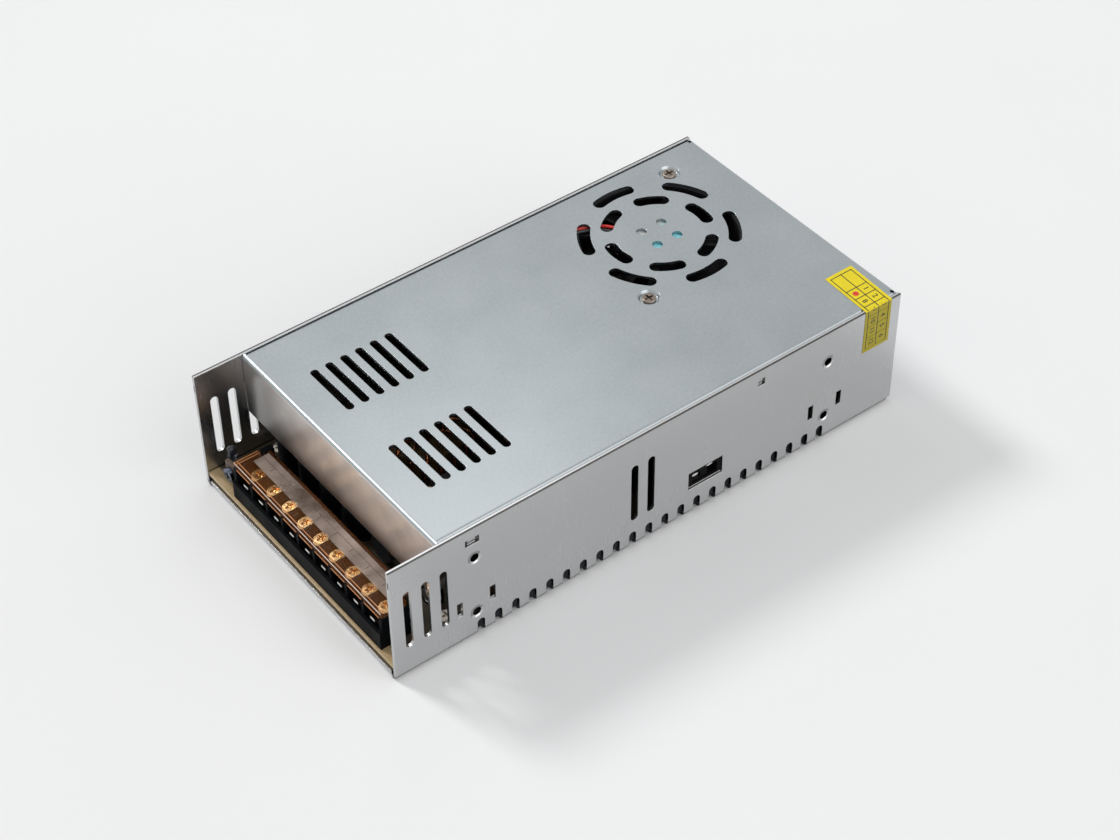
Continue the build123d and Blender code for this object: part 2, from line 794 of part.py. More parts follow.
# Voltage selector: the body seats on the wall with a boss in its window, the slider runs along Y
boss_length = selector_window_length - 2 * selector_boss_gap
boss_height = selector_window_height - 2 * selector_boss_gap
boss_face = wall_out - selector_recess
with BuildPart() as selector_body:
    with BuildSketch(Plane.YZ.offset(wall_in)):
        with Locations((selector_y, selector_height)):
            Rectangle(selector_body_length, selector_body_height)
    extrude(amount=-selector_body_depth)
    with BuildSketch(Plane.YZ.offset(wall_in)):
        with Locations((selector_y, selector_height)):
            Rectangle(boss_length, boss_height)
    extrude(amount=boss_face - wall_in)
    with BuildSketch(Plane.YZ.offset(boss_face)):
        with Locations((selector_y, selector_height)):
            Rectangle(selector_slot_length, selector_slot_height)
    extrude(amount=-selector_slot_depth, mode=Mode.SUBTRACT)
    pin_rows = [selector_y + i * selector_body_length / 3 for i in (-1, 0, 1)]
    pin_columns = [wall_in - selector_body_depth * share for share in (0.3, 0.7)]
    selector_pins = [(x, y) for x in pin_columns for y in pin_rows]
    selector_foot = selector_height - selector_body_height / 2 - board_top
    blocks(Plane.XY.offset(board_top), selector_pins, pin_side, pin_side, selector_foot)
save(selector_body, "selector_body")

slider_travel = selector_slot_length - slider_length - 2 * slider_gap
slider_y = selector_y - slider_travel / 2
with BuildPart() as selector_slider:
    with BuildSketch(Plane.YZ.offset(boss_face - selector_slot_depth + slider_gap)):
        with Locations((slider_y, selector_height)):
            Rectangle(slider_length, selector_slot_height - 2 * slider_gap)
    extrude(amount=slider_depth)
    with BuildSketch(Plane.YZ.offset(boss_face - selector_slot_depth + slider_gap + slider_depth)):
        with Locations((slider_y, selector_height)):
            Rectangle(slider_groove, selector_slot_height / 2)
    extrude(amount=-slider_groove, mode=Mode.SUBTRACT)
save(selector_slider, "selector_slider")

# Fan frame: a square frame with a round throat, four struts, a hub plate with a boss, and a bearing tube
strut_top = cover_under - strut_drop
strut_bottom = strut_top - strut_thickness
rotor_top = strut_bottom - rotor_top_gap
rotor_bottom = fan_bottom + rotor_bottom_gap
bearing_bottom = rotor_bottom + rotor_wall + rotor_clearance
lead_exit_x = fan_x - lead_exit_before_fan
fan_columns = (fan_x - fan_hole_span / 2, fan_x + fan_hole_span / 2)
fan_rows = (fan_y - fan_hole_span / 2, fan_y + fan_hole_span / 2)
fan_corners = [(x, y) for x in fan_columns for y in fan_rows]
with BuildPart() as fan_frame:
    with BuildSketch(Plane.XY.offset(fan_bottom)):
        with Locations((fan_x, fan_y)):
            RectangleRounded(fan_size, fan_size, (fan_size - fan_hole_span) / 2)
            Circle(fan_throat, mode=Mode.SUBTRACT)
        with Locations(*fan_corners):
            Circle(fan_hole, mode=Mode.SUBTRACT)
    extrude(amount=fan_depth)
    # The frame is waisted between its two flanges
    with BuildSketch(Plane.XY.offset(fan_bottom + fan_depth / 4)):
        with Locations((fan_x, fan_y)):
            Rectangle(2 * fan_size, 2 * fan_size)
            Circle(fan_throat + rotor_wall, mode=Mode.SUBTRACT)
        with Locations(*fan_corners):
            Circle(fan_hole + rotor_wall, mode=Mode.SUBTRACT)
    extrude(amount=fan_depth / 2, mode=Mode.SUBTRACT)
    with BuildSketch(Plane.XY.offset(strut_bottom)):
        with Locations((fan_x, fan_y)):
            with PolarLocations((hub_radius + fan_throat) / 2, 4, start_angle=45):
                Rectangle(fan_throat - hub_radius + 2 * rotor_wall, strut_width)
            Circle(hub_radius)
    extrude(amount=strut_thickness)
    posts(Plane.XY.offset(strut_top), [(fan_x, fan_y)], fan_label_radius, hub_boss)
    with BuildSketch(Plane.XY.offset(bearing_bottom)):
        with Locations((fan_x, fan_y)):
            Circle(shaft + shaft_fit + bearing_wall)
    extrude(amount=strut_bottom - bearing_bottom)
    with BuildSketch(Plane.XY.offset(bearing_bottom)):
        with Locations((fan_x, fan_y)):
            Circle(shaft + shaft_fit)
    extrude(amount=strut_bottom + strut_thickness / 2 - bearing_bottom, mode=Mode.SUBTRACT)
    # Countersinks clear the cover's screw recesses
    for place in fan_screw_places:
        with Locations((*place, case_height - (dimple_depth + dimple_wall) / 2)):
            Cone(
                dimple_floor + dimple_wall + sheet_fit,
                dimple_top + dimple_wall + sheet_fit,
                dimple_depth + dimple_wall + sheet_fit,
                mode=Mode.SUBTRACT,
            )
    # Notch in the frame's top edge where the lead leaves
    with Locations((lead_exit_x, fan_y - fan_size / 2, cover_under)):
        Box(lead_notch, fan_size / 2, 2 * strut_drop, mode=Mode.SUBTRACT)
save(fan_frame, "fan_frame")

with BuildPart() as fan_screws:
    with BuildSketch(Plane.XY.offset(case_height - dimple_depth)):
        with Locations(*fan_screw_places):
            Circle(fan_screw_head)
    extrude(amount=dimple_depth - sheet_fit)
    fillet(fan_screws.edges().group_by(Axis.Z)[-1], dimple_depth / 2)
    fan_seat = Plane.XY.offset(case_height - dimple_depth)
    posts(fan_seat, fan_screw_places, fan_hole - shaft_fit, -fan_screw_length)
    cross_cut(Plane.XY.offset(case_height - sheet_fit), fan_screw_places)
save(fan_screws, "fan_screws")

with BuildPart() as fan_label:
    with BuildSketch(Plane.XY.offset(strut_top + hub_boss)):
        with Locations((fan_x, fan_y)):
            Circle(fan_label_radius)
    extrude(amount=fan_label_thickness)
save(fan_label, "fan_label")

# Fan stator: a wound ring round the bearing tube, under the hub plate
bearing_out = shaft + shaft_fit + bearing_wall
cup_inside = hub_radius - rotor_wall
with BuildPart() as fan_stator:
    with BuildSketch(Plane.XY.offset(bearing_bottom + rotor_clearance)):
        with Locations((fan_x, fan_y)):
            Circle(cup_inside - stator_gap)
            with PolarLocations(cup_inside - stator_gap, 4):
                Rectangle(2 * rotor_wall, 2 * rotor_wall, mode=Mode.SUBTRACT)
            Circle(bearing_out + shaft_fit, mode=Mode.SUBTRACT)
    extrude(amount=strut_bottom - bearing_bottom - rotor_clearance)
save(fan_stator, "fan_stator")

# Fan rotor: a cup open towards the stator, a shaft up its middle, and twisted blades
blade_root = hub_radius - rotor_wall / 2
blade_tip = fan_throat - blade_tip_gap
blade_middle = (blade_root + blade_tip) / 2
rotor_height = rotor_top - rotor_bottom
blade_rise = rotor_height - 2 * rotor_clearance
with BuildPart() as fan_rotor:
    posts(Plane.XY.offset(rotor_bottom), [(fan_x, fan_y)], hub_radius, rotor_height)
    for i in range(blade_count):
        for height, turn in ((0, 0), (blade_rise, blade_pitch)):
            with BuildSketch(Plane.XY.offset(rotor_bottom + rotor_clearance + height)):
                with Locations((fan_x, fan_y)):
                    with PolarLocations(blade_middle, 1, start_angle=360 / blade_count * i + turn):
                        Rectangle(blade_tip - blade_root, blade_thickness)
        loft()
    cup_floor = Plane.XY.offset(rotor_bottom + rotor_wall)
    posts(cup_floor, [(fan_x, fan_y)], cup_inside, rotor_height, Mode.SUBTRACT)
    posts(Plane.XY.offset(rotor_bottom), [(fan_x, fan_y)], shaft, strut_bottom - rotor_bottom)
save(fan_rotor, "fan_rotor")

# Fan header on the board with its plug
header_y = fan_y - header_y_before_fan
plug_bottom = board_top + header_size[2]
plug_top = plug_bottom + plug_size[2]
for name, bottom, size in (("fan_header", board_top, header_size), ("fan_plug", plug_bottom, plug_size)):
    with BuildPart() as housing:
        blocks(Plane.XY.offset(bottom), [(lead_exit_x, header_y)], *size)
    save(housing, name)

# Red and black lead: from the hub along a strut, out over the frame and down to the plug
lead_z = (strut_top + cover_under) / 2


def lead_points(shift):
    """Corners of one wire's middle line, shifted sideways from the middle of the pair."""
    x = lead_exit_x + shift
    return [
        Vector(fan_x + lead_at_hub[0] + shift, fan_y + lead_at_hub[1] - shift, lead_z),
        Vector(fan_x + lead_on_strut[0] + shift, fan_y + lead_on_strut[1] - shift, lead_z),
        Vector(x, fan_y - lead_off_strut, lead_z),
        Vector(x, fan_y - lead_past_frame, lead_z),
        Vector(x, fan_y - lead_going_down, plug_top + lead_bend_above_plug),
        Vector(x, header_y, plug_top + lead_straight),
        Vector(x, header_y, plug_top),
    ]


def soft_radii(points):
    """For each corner, the radius that uses 0.45 of its shorter run."""
    runs = [after - before for before, after in zip(points, points[1:])]
    corners = zip(runs, runs[1:])
    return [0.45 * min(a.length, b.length) / tan(radians(a.get_angle(b) / 2)) for a, b in corners]


for name, shift in (("fan_lead_red", -wire_pair / 2), ("fan_lead_black", wire_pair / 2)):
    points = lead_points(shift)
    bends = soft_radii(points)
    with BuildPart() as fan_lead:
        with BuildLine():
            route = FilletPolyline(*points, radius=bends)
        with BuildSketch(Plane(origin=route @ 0, z_dir=route % 0)):
            Circle(wire_radius)
        sweep(path=route)
    expected = pi * wire_radius**2 * route.length
    print(name, "bend radii", [round(bend, 1) for bend in bends])
    print(name, "volume", round(fan_lead.part.volume, 2), "section times length", round(expected, 2))
    save(fan_lead, name)

# Date label folded over the right top edge
label_y = rear - label_from_rear
label_skew = label_on_top * tan(radians(label_turn))
with BuildPart() as date_label:
    with BuildSketch(Plane.XY.offset(case_height)):
        with BuildLine():
            Polyline(
                (wall_out + label_thickness, label_y),
                (wall_out + label_thickness, label_y + label_width),
                (wall_out - label_on_top, label_y + label_width + label_skew),
                (wall_out - label_on_top, label_y + label_skew),
                close=True,
            )
        make_face()
    extrude(amount=label_thickness)
    with BuildSketch(Plane.YZ.offset(wall_out)):
        with Locations((label_y + label_width / 2, case_height - label_on_side / 2)):
            Rectangle(label_width, label_on_side)
    extrude(amount=label_thickness)
save(date_label, "date_label")

# Electrolytic capacitors: sleeved cans with a rounded shoulder and a sunk top
for name, places, radius, height in (
    ("bulk_capacitors", bulk_places, bulk_radius, bulk_height),
    ("output_capacitors", output_cap_places, output_cap_radius, output_cap_height),
    ("small_capacitors", small_cap_places, small_cap_radius, small_cap_height),
):
    with BuildPart() as cans:
        posts(Plane.XY.offset(board_top), on_board(places), radius, height)
        fillet(cans.edges().group_by(Axis.Z)[-1], can_shoulder)
        can_top = Plane.XY.offset(board_top + height)
        posts(can_top, on_board(places), radius - can_rim, -can_sink, Mode.SUBTRACT)
    save(cans, name)

# Output choke: a square-section ring lying flat, carried by its thick copper turns
choke_middle = on_board([choke_place])[0]
turn_inside = choke_core / 2 + choke_fit
turn_outside = turn_inside + choke_wire
choke_z = board_top + turn_outside
with BuildPart() as output_choke_core:
    with BuildSketch(Plane.XY.offset(choke_z - choke_core / 2)):
        with Locations(choke_middle):
            Circle(choke_ring + choke_core / 2)
            Circle(choke_ring - choke_core / 2, mode=Mode.SUBTRACT)
    extrude(amount=choke_core)
    fillet(output_choke_core.edges().filter_by(GeomType.CIRCLE), choke_edge)
save(output_choke_core, "output_choke_core")

with BuildPart() as choke_turn:
    with BuildSketch(Plane.XZ.offset(-choke_wire / 2)):
        with Locations((choke_ring, 0)):
            RectangleRounded(2 * turn_outside, 2 * turn_outside, choke_edge + choke_wire)
            RectangleRounded(2 * turn_inside, 2 * turn_inside, choke_edge, mode=Mode.SUBTRACT)
    extrude(amount=choke_wire)
with BuildPart() as output_choke_winding:
    with Locations((*choke_middle, choke_z)):
        with PolarLocations(0, choke_turns):
            add(choke_turn.part)
save(output_choke_winding, "output_choke_winding")

# Wound parts on upright ferrite cores. Each row: name, place, width, depth, height, leg, coil depth
wound_parts = (
    ("main_transformer", transformer_place, transformer_core, transformer_leg, transformer_coil_depth),
    ("driver_transformer", driver_place, driver_core, driver_leg, driver_coil_depth),
)
for name, place, core, leg, coil_depth in wound_parts:
    x, y = on_board([place])[0]
    width, depth, height = core
    window = (width - 4 * leg) / 2
    coil_height = height - 2 * leg - 2 * coil_fit
    foot = board_top + bobbin_foot
    with BuildPart() as core_piece:
        with BuildSketch(Plane.XZ.offset(-y - depth / 2)):
            with Locations((x, foot + height / 2)):
                Rectangle(width, height)
            for side in (-1, 1):
                with Locations((x + side * (leg + window / 2), foot + height / 2)):
                    Rectangle(window, height - 2 * leg, mode=Mode.SUBTRACT)
        extrude(amount=depth)
    save(core_piece, name + "_core")
    with BuildPart() as coil_piece:
        with BuildSketch(Plane.XY.offset(foot + leg + coil_fit)):
            with Locations((x, y)):
                RectangleRounded(width - 2 * leg - 2 * coil_fit, coil_depth, coil_corner)
                Rectangle(2 * leg + 2 * coil_fit, depth + 2 * coil_fit, mode=Mode.SUBTRACT)
        extrude(amount=coil_height)
    save(coil_piece, name + "_coil")
    with BuildPart() as bobbin_piece:
        blocks(Plane.XY.offset(board_top), [(x, y)], width, coil_depth, bobbin_foot)
        for side in (-1, 1):
            rail = (x, y + side * (coil_depth / 2 - bobbin_rail / 2))
            blocks(Plane.XY.offset(foot), [rail], width / 2, bobbin_rail, leg + coil_fit)
    save(bobbin_piece, name + "_bobbin")

# Line filter: a closed core with one coil round each upright leg
filter_middle = on_board([filter_place])[0]
filter_width, filter_depth, filter_height = filter_core
filter_leg_x = [filter_middle[0] + side * (filter_width - filter_leg) / 2 for side in (-1, 1)]
with BuildPart() as line_filter_core:
    with BuildSketch(Plane.XZ.offset(-filter_middle[1] - filter_depth / 2)):
        with Locations((filter_middle[0], board_top + filter_height / 2)):
            Rectangle(filter_width, filter_height)
            Rectangle(filter_width - 2 * filter_leg, filter_height - 2 * filter_leg, mode=Mode.SUBTRACT)
    extrude(amount=filter_depth)
save(line_filter_core, "line_filter_core")

filter_coil_width = filter_leg + 2 * coil_fit + 2 * filter_coil_build
filter_coil_depth = filter_depth + 2 * coil_fit + 2 * filter_coil_build
with BuildPart() as line_filter_coils:
    with BuildSketch(Plane.XY.offset(board_top + filter_leg + coil_fit)):
        with Locations(*[(leg_x, filter_middle[1]) for leg_x in filter_leg_x]):
            RectangleRounded(filter_coil_width, filter_coil_depth, coil_corner)
            Rectangle(filter_leg + 2 * coil_fit, filter_depth + 2 * coil_fit, mode=Mode.SUBTRACT)
    extrude(amount=filter_height - 2 * filter_leg - 2 * coil_fit)
save(line_filter_coils, "line_filter_coils")

# Film capacitor, and two disc capacitors standing on edge
film_width, film_depth, film_height = film_cap_size
with BuildPart() as film_capacitor:
    blocks(Plane.XY.offset(board_top), on_board([film_cap_place]), film_width, film_depth, film_height)
    fillet(film_capacitor.edges().filter_by(Axis.Z), film_cap_edge)
save(film_capacitor, "film_capacitor")


def discs(places, radius, thickness):
    """Round discs standing on edge across the board, each on two leads."""
    middle = board_top + lead_stand + radius
    for x, y in on_board(places):
        posts(Plane.XZ.offset(-y - thickness / 2), [(x, middle)], radius, thickness)
        feet = [(x + side * lead_span, y) for side in (-1, 1)]
        posts(Plane.XY.offset(board_top), feet, lead_radius, lead_stand + radius)


with BuildPart() as disc_capacitors:
    discs(disc_cap_places, disc_cap_radius, disc_cap_thickness)
save(disc_capacitors, "disc_capacitors")

with BuildPart() as inrush_thermistor:
    discs([thermistor_place], thermistor_radius, thermistor_thickness)
save(inrush_thermistor, "inrush_thermistor")

# Glass fuse with end caps, in two spring clips
fuse_px, fuse_py = on_board([fuse_place])[0]
fuse_z = board_top + fuse_lift + fuse_radius
fuse_cap_rows = [fuse_py + side * (fuse_length - fuse_cap) / 2 for side in (-1, 1)]
with BuildPart() as fuse:
    fuse_end = Plane.XZ.offset(-fuse_py - fuse_length / 2)
    posts(fuse_end, [(fuse_px, fuse_z)], fuse_radius - clip_thickness, fuse_length)
    for cap_y in fuse_cap_rows:
        posts(Plane.XZ.offset(-cap_y - fuse_cap / 2), [(fuse_px, fuse_z)], fuse_radius, fuse_cap)
save(fuse, "fuse")

clip_half = fuse_radius + sheet_fit + clip_thickness
with BuildPart() as fuse_clips:
    clip_places = [(fuse_px, cap_y) for cap_y in fuse_cap_rows]
    clip_height = fuse_z + fuse_radius - board_top
    blocks(Plane.XY.offset(board_top), clip_places, 2 * clip_half, fuse_cap, clip_height)
    clip_end = Plane.XZ.offset(-fuse_py - fuse_length / 2)
    posts(clip_end, [(fuse_px, fuse_z)], fuse_radius + sheet_fit, fuse_length, Mode.SUBTRACT)
    blocks(Plane.XY.offset(fuse_z), clip_places, 2 * fuse_radius, fuse_cap, clip_height, Mode.SUBTRACT)
save(fuse_clips, "fuse_clips")

# Bridge rectifier: a flat block with one cut corner, on four leads
bridge_thick, bridge_long, bridge_tall = bridge_size
bridge_px, bridge_py = on_board([bridge_place])[0]
with BuildPart() as bridge_rectifier:
    bridge_seat = Plane.XY.offset(board_top + bridge_lift)
    blocks(bridge_seat, [(bridge_px, bridge_py)], bridge_thick, bridge_long, bridge_tall)
    chamfer(bridge_rectifier.edges().filter_by(Axis.X).sort_by(Axis.Z)[-1], bridge_corner)
    bridge_leads = [(bridge_px, bridge_py + lead_pitch * (i - 1.5)) for i in range(4)]
    blocks(Plane.XY.offset(board_top), bridge_leads, lead_side, lead_side, bridge_lift)
save(bridge_rectifier, "bridge_rectifier")

# Heatsinks with two power devices each, held by screws into the plate
package_thick, package_wide, package_tall = package_size
primary_x, primary_y = on_board([primary_sink_place])[0]
output_x, output_y = on_board([output_sink_place])[0]
device_z = board_top + package_lift + device_hole_above
spread = (-device_spread / 2, device_spread / 2)
with BuildPart() as primary_heatsink:
    sink_middle = (primary_x + sink_plate / 2, primary_y)
    blocks(Plane.XY.offset(board_top), [sink_middle], sink_plate, primary_sink_length, sink_height)
    fin_gap = (primary_sink_length - fin_thickness) / (fin_count - 1)
    fin_x = primary_x + sink_plate + fin_length / 2
    fins = [(fin_x, primary_y + fin_gap * (i - (fin_count - 1) / 2)) for i in range(fin_count)]
    blocks(Plane.XY.offset(board_top), fins, fin_length, fin_thickness, sink_height)
    holes = [(primary_y + shift, device_z) for shift in spread]
    posts(Plane.YZ.offset(primary_x), holes, m3_bore, sink_plate, Mode.SUBTRACT)
save(primary_heatsink, "primary_heatsink")

with BuildPart() as output_heatsink:
    sink_middle = (output_x - sink_plate / 2, output_y)
    blocks(Plane.XY.offset(board_top), [sink_middle], sink_plate, output_sink_length, sink_height)
    holes = [(output_y + shift, device_z) for shift in spread]
    posts(Plane.YZ.offset(output_x), holes, m3_bore, -sink_plate, Mode.SUBTRACT)
save(output_heatsink, "output_heatsink")

for name, face, middle, out in (
    ("switching_transistors", primary_x, primary_y, -1),
    ("output_rectifiers", output_x, output_y, 1),
):
    with BuildPart() as devices:
        bodies = [(face + out * package_thick / 2, middle + shift) for shift in spread]
        blocks(Plane.XY.offset(board_top + package_lift), bodies, package_thick, package_wide, package_tall)
        legs = [(x, y + lead_pitch * i) for x, y in bodies for i in (-1, 0, 1)]
        blocks(Plane.XY.offset(board_top), legs, lead_side, 2 * lead_side, package_lift)
        holes = [(middle + shift, device_z) for shift in spread]
        posts(Plane.YZ.offset(face), holes, m3_clear, out * package_thick, Mode.SUBTRACT)
    save(devices, name)

with BuildPart() as device_screws:
    for face, middle, out in ((primary_x, primary_y, -1), (output_x, output_y, 1)):
        places = [(middle + shift, device_z) for shift in spread]
        front_of_device = Plane.YZ.offset(face + out * package_thick)
        posts(front_of_device, places, m3_head, out * m3_head_height)
        posts(front_of_device, places, m3_bore, -out * (package_thick + sink_plate))
save(device_screws, "device_screws")

# Chips and resistors
for name, place, size in (
    ("control_chip", chip_place, chip_size),
    ("optocoupler", coupler_place, coupler_size),
):
    chip_wide, chip_long, chip_tall = size
    chip_px, chip_py = on_board([place])[0]
    with BuildPart() as chip:
        blocks(Plane.XY.offset(board_top + chip_lift), [(chip_px, chip_py)], chip_wide, chip_long, chip_tall)
        pin_count = int(chip_long / chip_pin_pitch)
        rows = [chip_py + chip_pin_pitch * (i - (pin_count - 1) / 2) for i in range(pin_count)]
        pins = [(chip_px + side * (chip_wide - lead_side) / 2, pin_y) for side in (-1, 1) for pin_y in rows]
        blocks(Plane.XY.offset(board_top), pins, lead_side, lead_side, chip_lift)
    save(chip, name)

resistor_z = board_top + resistor_lift + resistor_radius
with BuildPart() as resistors:
    for x, y in on_board(resistor_places):
        posts(Plane.YZ.offset(x - resistor_length / 2), [(y, resistor_z)], resistor_radius, resistor_length)
    fillet(resistors.edges().filter_by(GeomType.CIRCLE), resistor_edge)
    for x, y in on_board(resistor_places):
        feet = [(x + side * (resistor_length / 2 - lead_span / 2), y) for side in (-1, 1)]
        posts(Plane.XY.offset(board_top), feet, lead_radius, resistor_lift + resistor_radius)
save(resistors, "resistors")
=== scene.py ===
# %% [markdown]
# A slotted sheet-metal power supply, dressed for its portrait.
# The solids of the supply come ready made from its CAD model. This lesson gives every one of them a
# finish, adds the fine pieces that solids leave out, and sets up the floor, the light and the camera.
# Everything is in metres, in the frame of the CAD model: the middle of the underside is the origin,
# Z is up, and the terminals are at the -Y end.

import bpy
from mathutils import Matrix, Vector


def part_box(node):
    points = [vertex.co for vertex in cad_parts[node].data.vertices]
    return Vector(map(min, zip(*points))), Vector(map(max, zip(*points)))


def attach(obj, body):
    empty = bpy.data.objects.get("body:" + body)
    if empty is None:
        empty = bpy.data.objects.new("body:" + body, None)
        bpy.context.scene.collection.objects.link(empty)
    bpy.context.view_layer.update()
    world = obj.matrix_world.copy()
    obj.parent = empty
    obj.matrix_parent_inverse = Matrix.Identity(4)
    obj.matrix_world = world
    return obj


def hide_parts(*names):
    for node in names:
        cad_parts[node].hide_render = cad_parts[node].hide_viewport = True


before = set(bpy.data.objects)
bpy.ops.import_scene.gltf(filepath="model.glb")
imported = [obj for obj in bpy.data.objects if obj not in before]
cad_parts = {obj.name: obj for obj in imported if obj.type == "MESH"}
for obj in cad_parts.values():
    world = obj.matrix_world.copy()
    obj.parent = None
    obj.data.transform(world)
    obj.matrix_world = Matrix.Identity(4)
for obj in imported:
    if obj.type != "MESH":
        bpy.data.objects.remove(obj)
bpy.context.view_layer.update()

# %% Tools of this lesson
from math import cos, pi, radians, sin

import bmesh
import bpy
from mathutils import Matrix, Vector

MM = 0.001
CASE_FRONT = -107.5 * MM
WALL = 57.5 * MM
CASE_TOP = 50.0 * MM
BOARD_TOP = 6.0 * MM


def mm(*values):
    """A point given in millimetres."""
    return Vector(values) * MM


# %% [markdown]
# The camera stands where the photographer stood. Its lens and place were worked out from the known
# corners of the case, so that every edge falls where it does in the picture. A long lens from nearly a
# metre away keeps the far corner almost as large as the near one.

# %% Camera
camera_data = bpy.data.cameras.new("camera")
camera_data.sensor_width = 36.0
camera_data.lens = 78.32
camera_data.clip_start = 0.01
camera = bpy.data.objects.new("camera", camera_data)
camera.location = mm(497.87, -372.47, 595.83)
camera.rotation_euler = (radians(46.6994), radians(0.5384), radians(52.4801))
bpy.context.scene.collection.objects.link(camera)
bpy.context.scene.camera = camera
bpy.context.scene.view_settings.view_transform = "Standard"
print("camera", [round(v, 3) for v in camera.location])

# %% [markdown]
# The light is a bright room, a wide soft key on the left, a wider fill on the right and one soft box.
# Together they give a grey card its own grey. The key makes the broad pale shadow on the right, and the
# fill keeps the near wall from going dull. The soft box stands where the cover would mirror it, so it
# lays a pale sheen over the cover's front corner.

# %% Light
ROOM_LEVEL = 0.53
BACKGROUND = (0.863, 0.863, 0.863, 1.0)

world = bpy.data.worlds.new("room")
world.use_nodes = True
bpy.context.scene.world = world
room_nodes, room_links = world.node_tree.nodes, world.node_tree.links
room_fill = room_nodes["Background"]
room_fill.inputs["Color"].default_value = (0.98, 0.99, 1.0, 1.0)
room_fill.inputs["Strength"].default_value = ROOM_LEVEL
room_seen = room_nodes.new("ShaderNodeBackground")
room_seen.inputs["Color"].default_value = BACKGROUND
room_seen.inputs["Strength"].default_value = 1.0
light_path = room_nodes.new("ShaderNodeLightPath")
camera_or_gloss = room_nodes.new("ShaderNodeMath")
camera_or_gloss.operation = "MAXIMUM"
or_glass = room_nodes.new("ShaderNodeMath")
or_glass.operation = "MAXIMUM"
room_mix = room_nodes.new("ShaderNodeMixShader")
room_links.new(light_path.outputs["Is Camera Ray"], camera_or_gloss.inputs[0])
room_links.new(light_path.outputs["Is Glossy Ray"], camera_or_gloss.inputs[1])
room_links.new(camera_or_gloss.outputs[0], or_glass.inputs[0])
room_links.new(light_path.outputs["Is Transmission Ray"], or_glass.inputs[1])
room_links.new(or_glass.outputs[0], room_mix.inputs["Fac"])
room_links.new(room_fill.outputs[0], room_mix.inputs[1])
room_links.new(room_seen.outputs[0], room_mix.inputs[2])
room_links.new(room_mix.outputs[0], room_nodes["World Output"].inputs["Surface"])


def add_light(name, kind, energy, travel, place=(0.0, 0.0, 0.0)):
    """A light that shines along a direction."""
    data = bpy.data.lights.new(name, kind)
    data.energy = energy
    lamp = bpy.data.objects.new(name, data)
    lamp.location = place
    lamp.rotation_euler = Vector(travel).to_track_quat("-Z", "Y").to_euler()
    bpy.context.scene.collection.objects.link(lamp)
    print(name, energy)
    return data


add_light("key_light", "SUN", 1.35, (0.72, 0.25, -0.64)).angle = radians(15.0)
add_light("right_fill", "SUN", 1.0, (-0.78, -0.2, -0.59)).angle = radians(60.0)
SOFT_BOX = mm(-279.0, 137.0, 510.0)
add_light("soft_box", "AREA", 0.13, mm(45.0, -75.0, 50.0) - SOFT_BOX, SOFT_BOX).size = 0.18

# %% [markdown]
# Every finish starts from one shader, and gets its life from noise: a little colour change, a little
# change of gloss and a fine relief. These few helpers keep the finishes short. The noise reads Object
# coordinates, so its size is real: a scale of 1000 makes specks of about a millimetre.


# %% Helpers for finishes
def new_finish(name, colour, roughness, metallic=0.0):
    """A material with its shader's colour, roughness and metal set."""
    material = bpy.data.materials.new(name)
    material.use_nodes = True
    shader = material.node_tree.nodes["Principled BSDF"]
    shader.inputs["Base Color"].default_value = (*colour, 1.0)
    shader.inputs["Roughness"].default_value = roughness
    shader.inputs["Metallic"].default_value = metallic
    return material, shader


def noise_on(material, scale, stretch=(1.0, 1.0, 1.0), detail=2.0):
    """Noise that stays on the piece. Stretch below 1 draws it out along that axis."""
    nodes, links = material.node_tree.nodes, material.node_tree.links
    place = nodes.new("ShaderNodeTexCoord")
    mapping = nodes.new("ShaderNodeMapping")
    mapping.inputs["Scale"].default_value = stretch
    noise = nodes.new("ShaderNodeTexNoise")
    noise.inputs["Scale"].default_value = scale
    noise.inputs["Detail"].default_value = detail
    links.new(place.outputs["Object"], mapping.inputs["Vector"])
    links.new(mapping.outputs["Vector"], noise.inputs["Vector"])
    return noise.outputs["Fac"]


def ranged(material, factor, low, high, start=0.3, end=0.7):
    """The factor, spread from start..end to low..high."""
    spread = material.node_tree.nodes.new("ShaderNodeMapRange")
    for socket, value in (("From Min", start), ("From Max", end), ("To Min", low), ("To Max", high)):
        spread.inputs[socket].default_value = value
    material.node_tree.links.new(factor, spread.inputs["Value"])
    return spread.outputs["Result"]


def worked(material, operation, first, second=0.0):
    """A sum on sockets or numbers."""
    node = material.node_tree.nodes.new("ShaderNodeMath")
    node.operation = operation
    for socket, value in zip(node.inputs, (first, second)):
        if isinstance(value, bpy.types.NodeSocket):
            material.node_tree.links.new(value, socket)
        else:
            socket.default_value = value
    return node.outputs[0]


def place_on(material):
    """X, Y and Z on the piece, in metres."""
    nodes, links = material.node_tree.nodes, material.node_tree.links
    parts = nodes.new("ShaderNodeSeparateXYZ")
    links.new(nodes.new("ShaderNodeTexCoord").outputs["Object"], parts.inputs[0])
    return parts.outputs["X"], parts.outputs["Y"], parts.outputs["Z"]


def painted_over(material, mask, colour):
    """Lays a colour over the base colour where the mask is 1."""
    nodes, links = material.node_tree.nodes, material.node_tree.links
    over = nodes.new("ShaderNodeMix")
    over.data_type = "RGBA"
    over.inputs["B"].default_value = (*colour, 1.0)
    base = nodes["Principled BSDF"].inputs["Base Color"]
    links.new(base.links[0].from_socket, over.inputs["A"])
    links.new(mask, over.inputs["Factor"])
    links.new(over.outputs["Result"], base)


def colour_between(material, factor, dark, light):
    """Base colour that wanders between two colours."""
    nodes, links = material.node_tree.nodes, material.node_tree.links
    mix = nodes.new("ShaderNodeMix")
    mix.data_type = "RGBA"
    mix.inputs["A"].default_value = (*dark, 1.0)
    mix.inputs["B"].default_value = (*light, 1.0)
    links.new(ranged(material, factor, 0.0, 1.0), mix.inputs["Factor"])
    links.new(mix.outputs["Result"], nodes["Principled BSDF"].inputs["Base Color"])


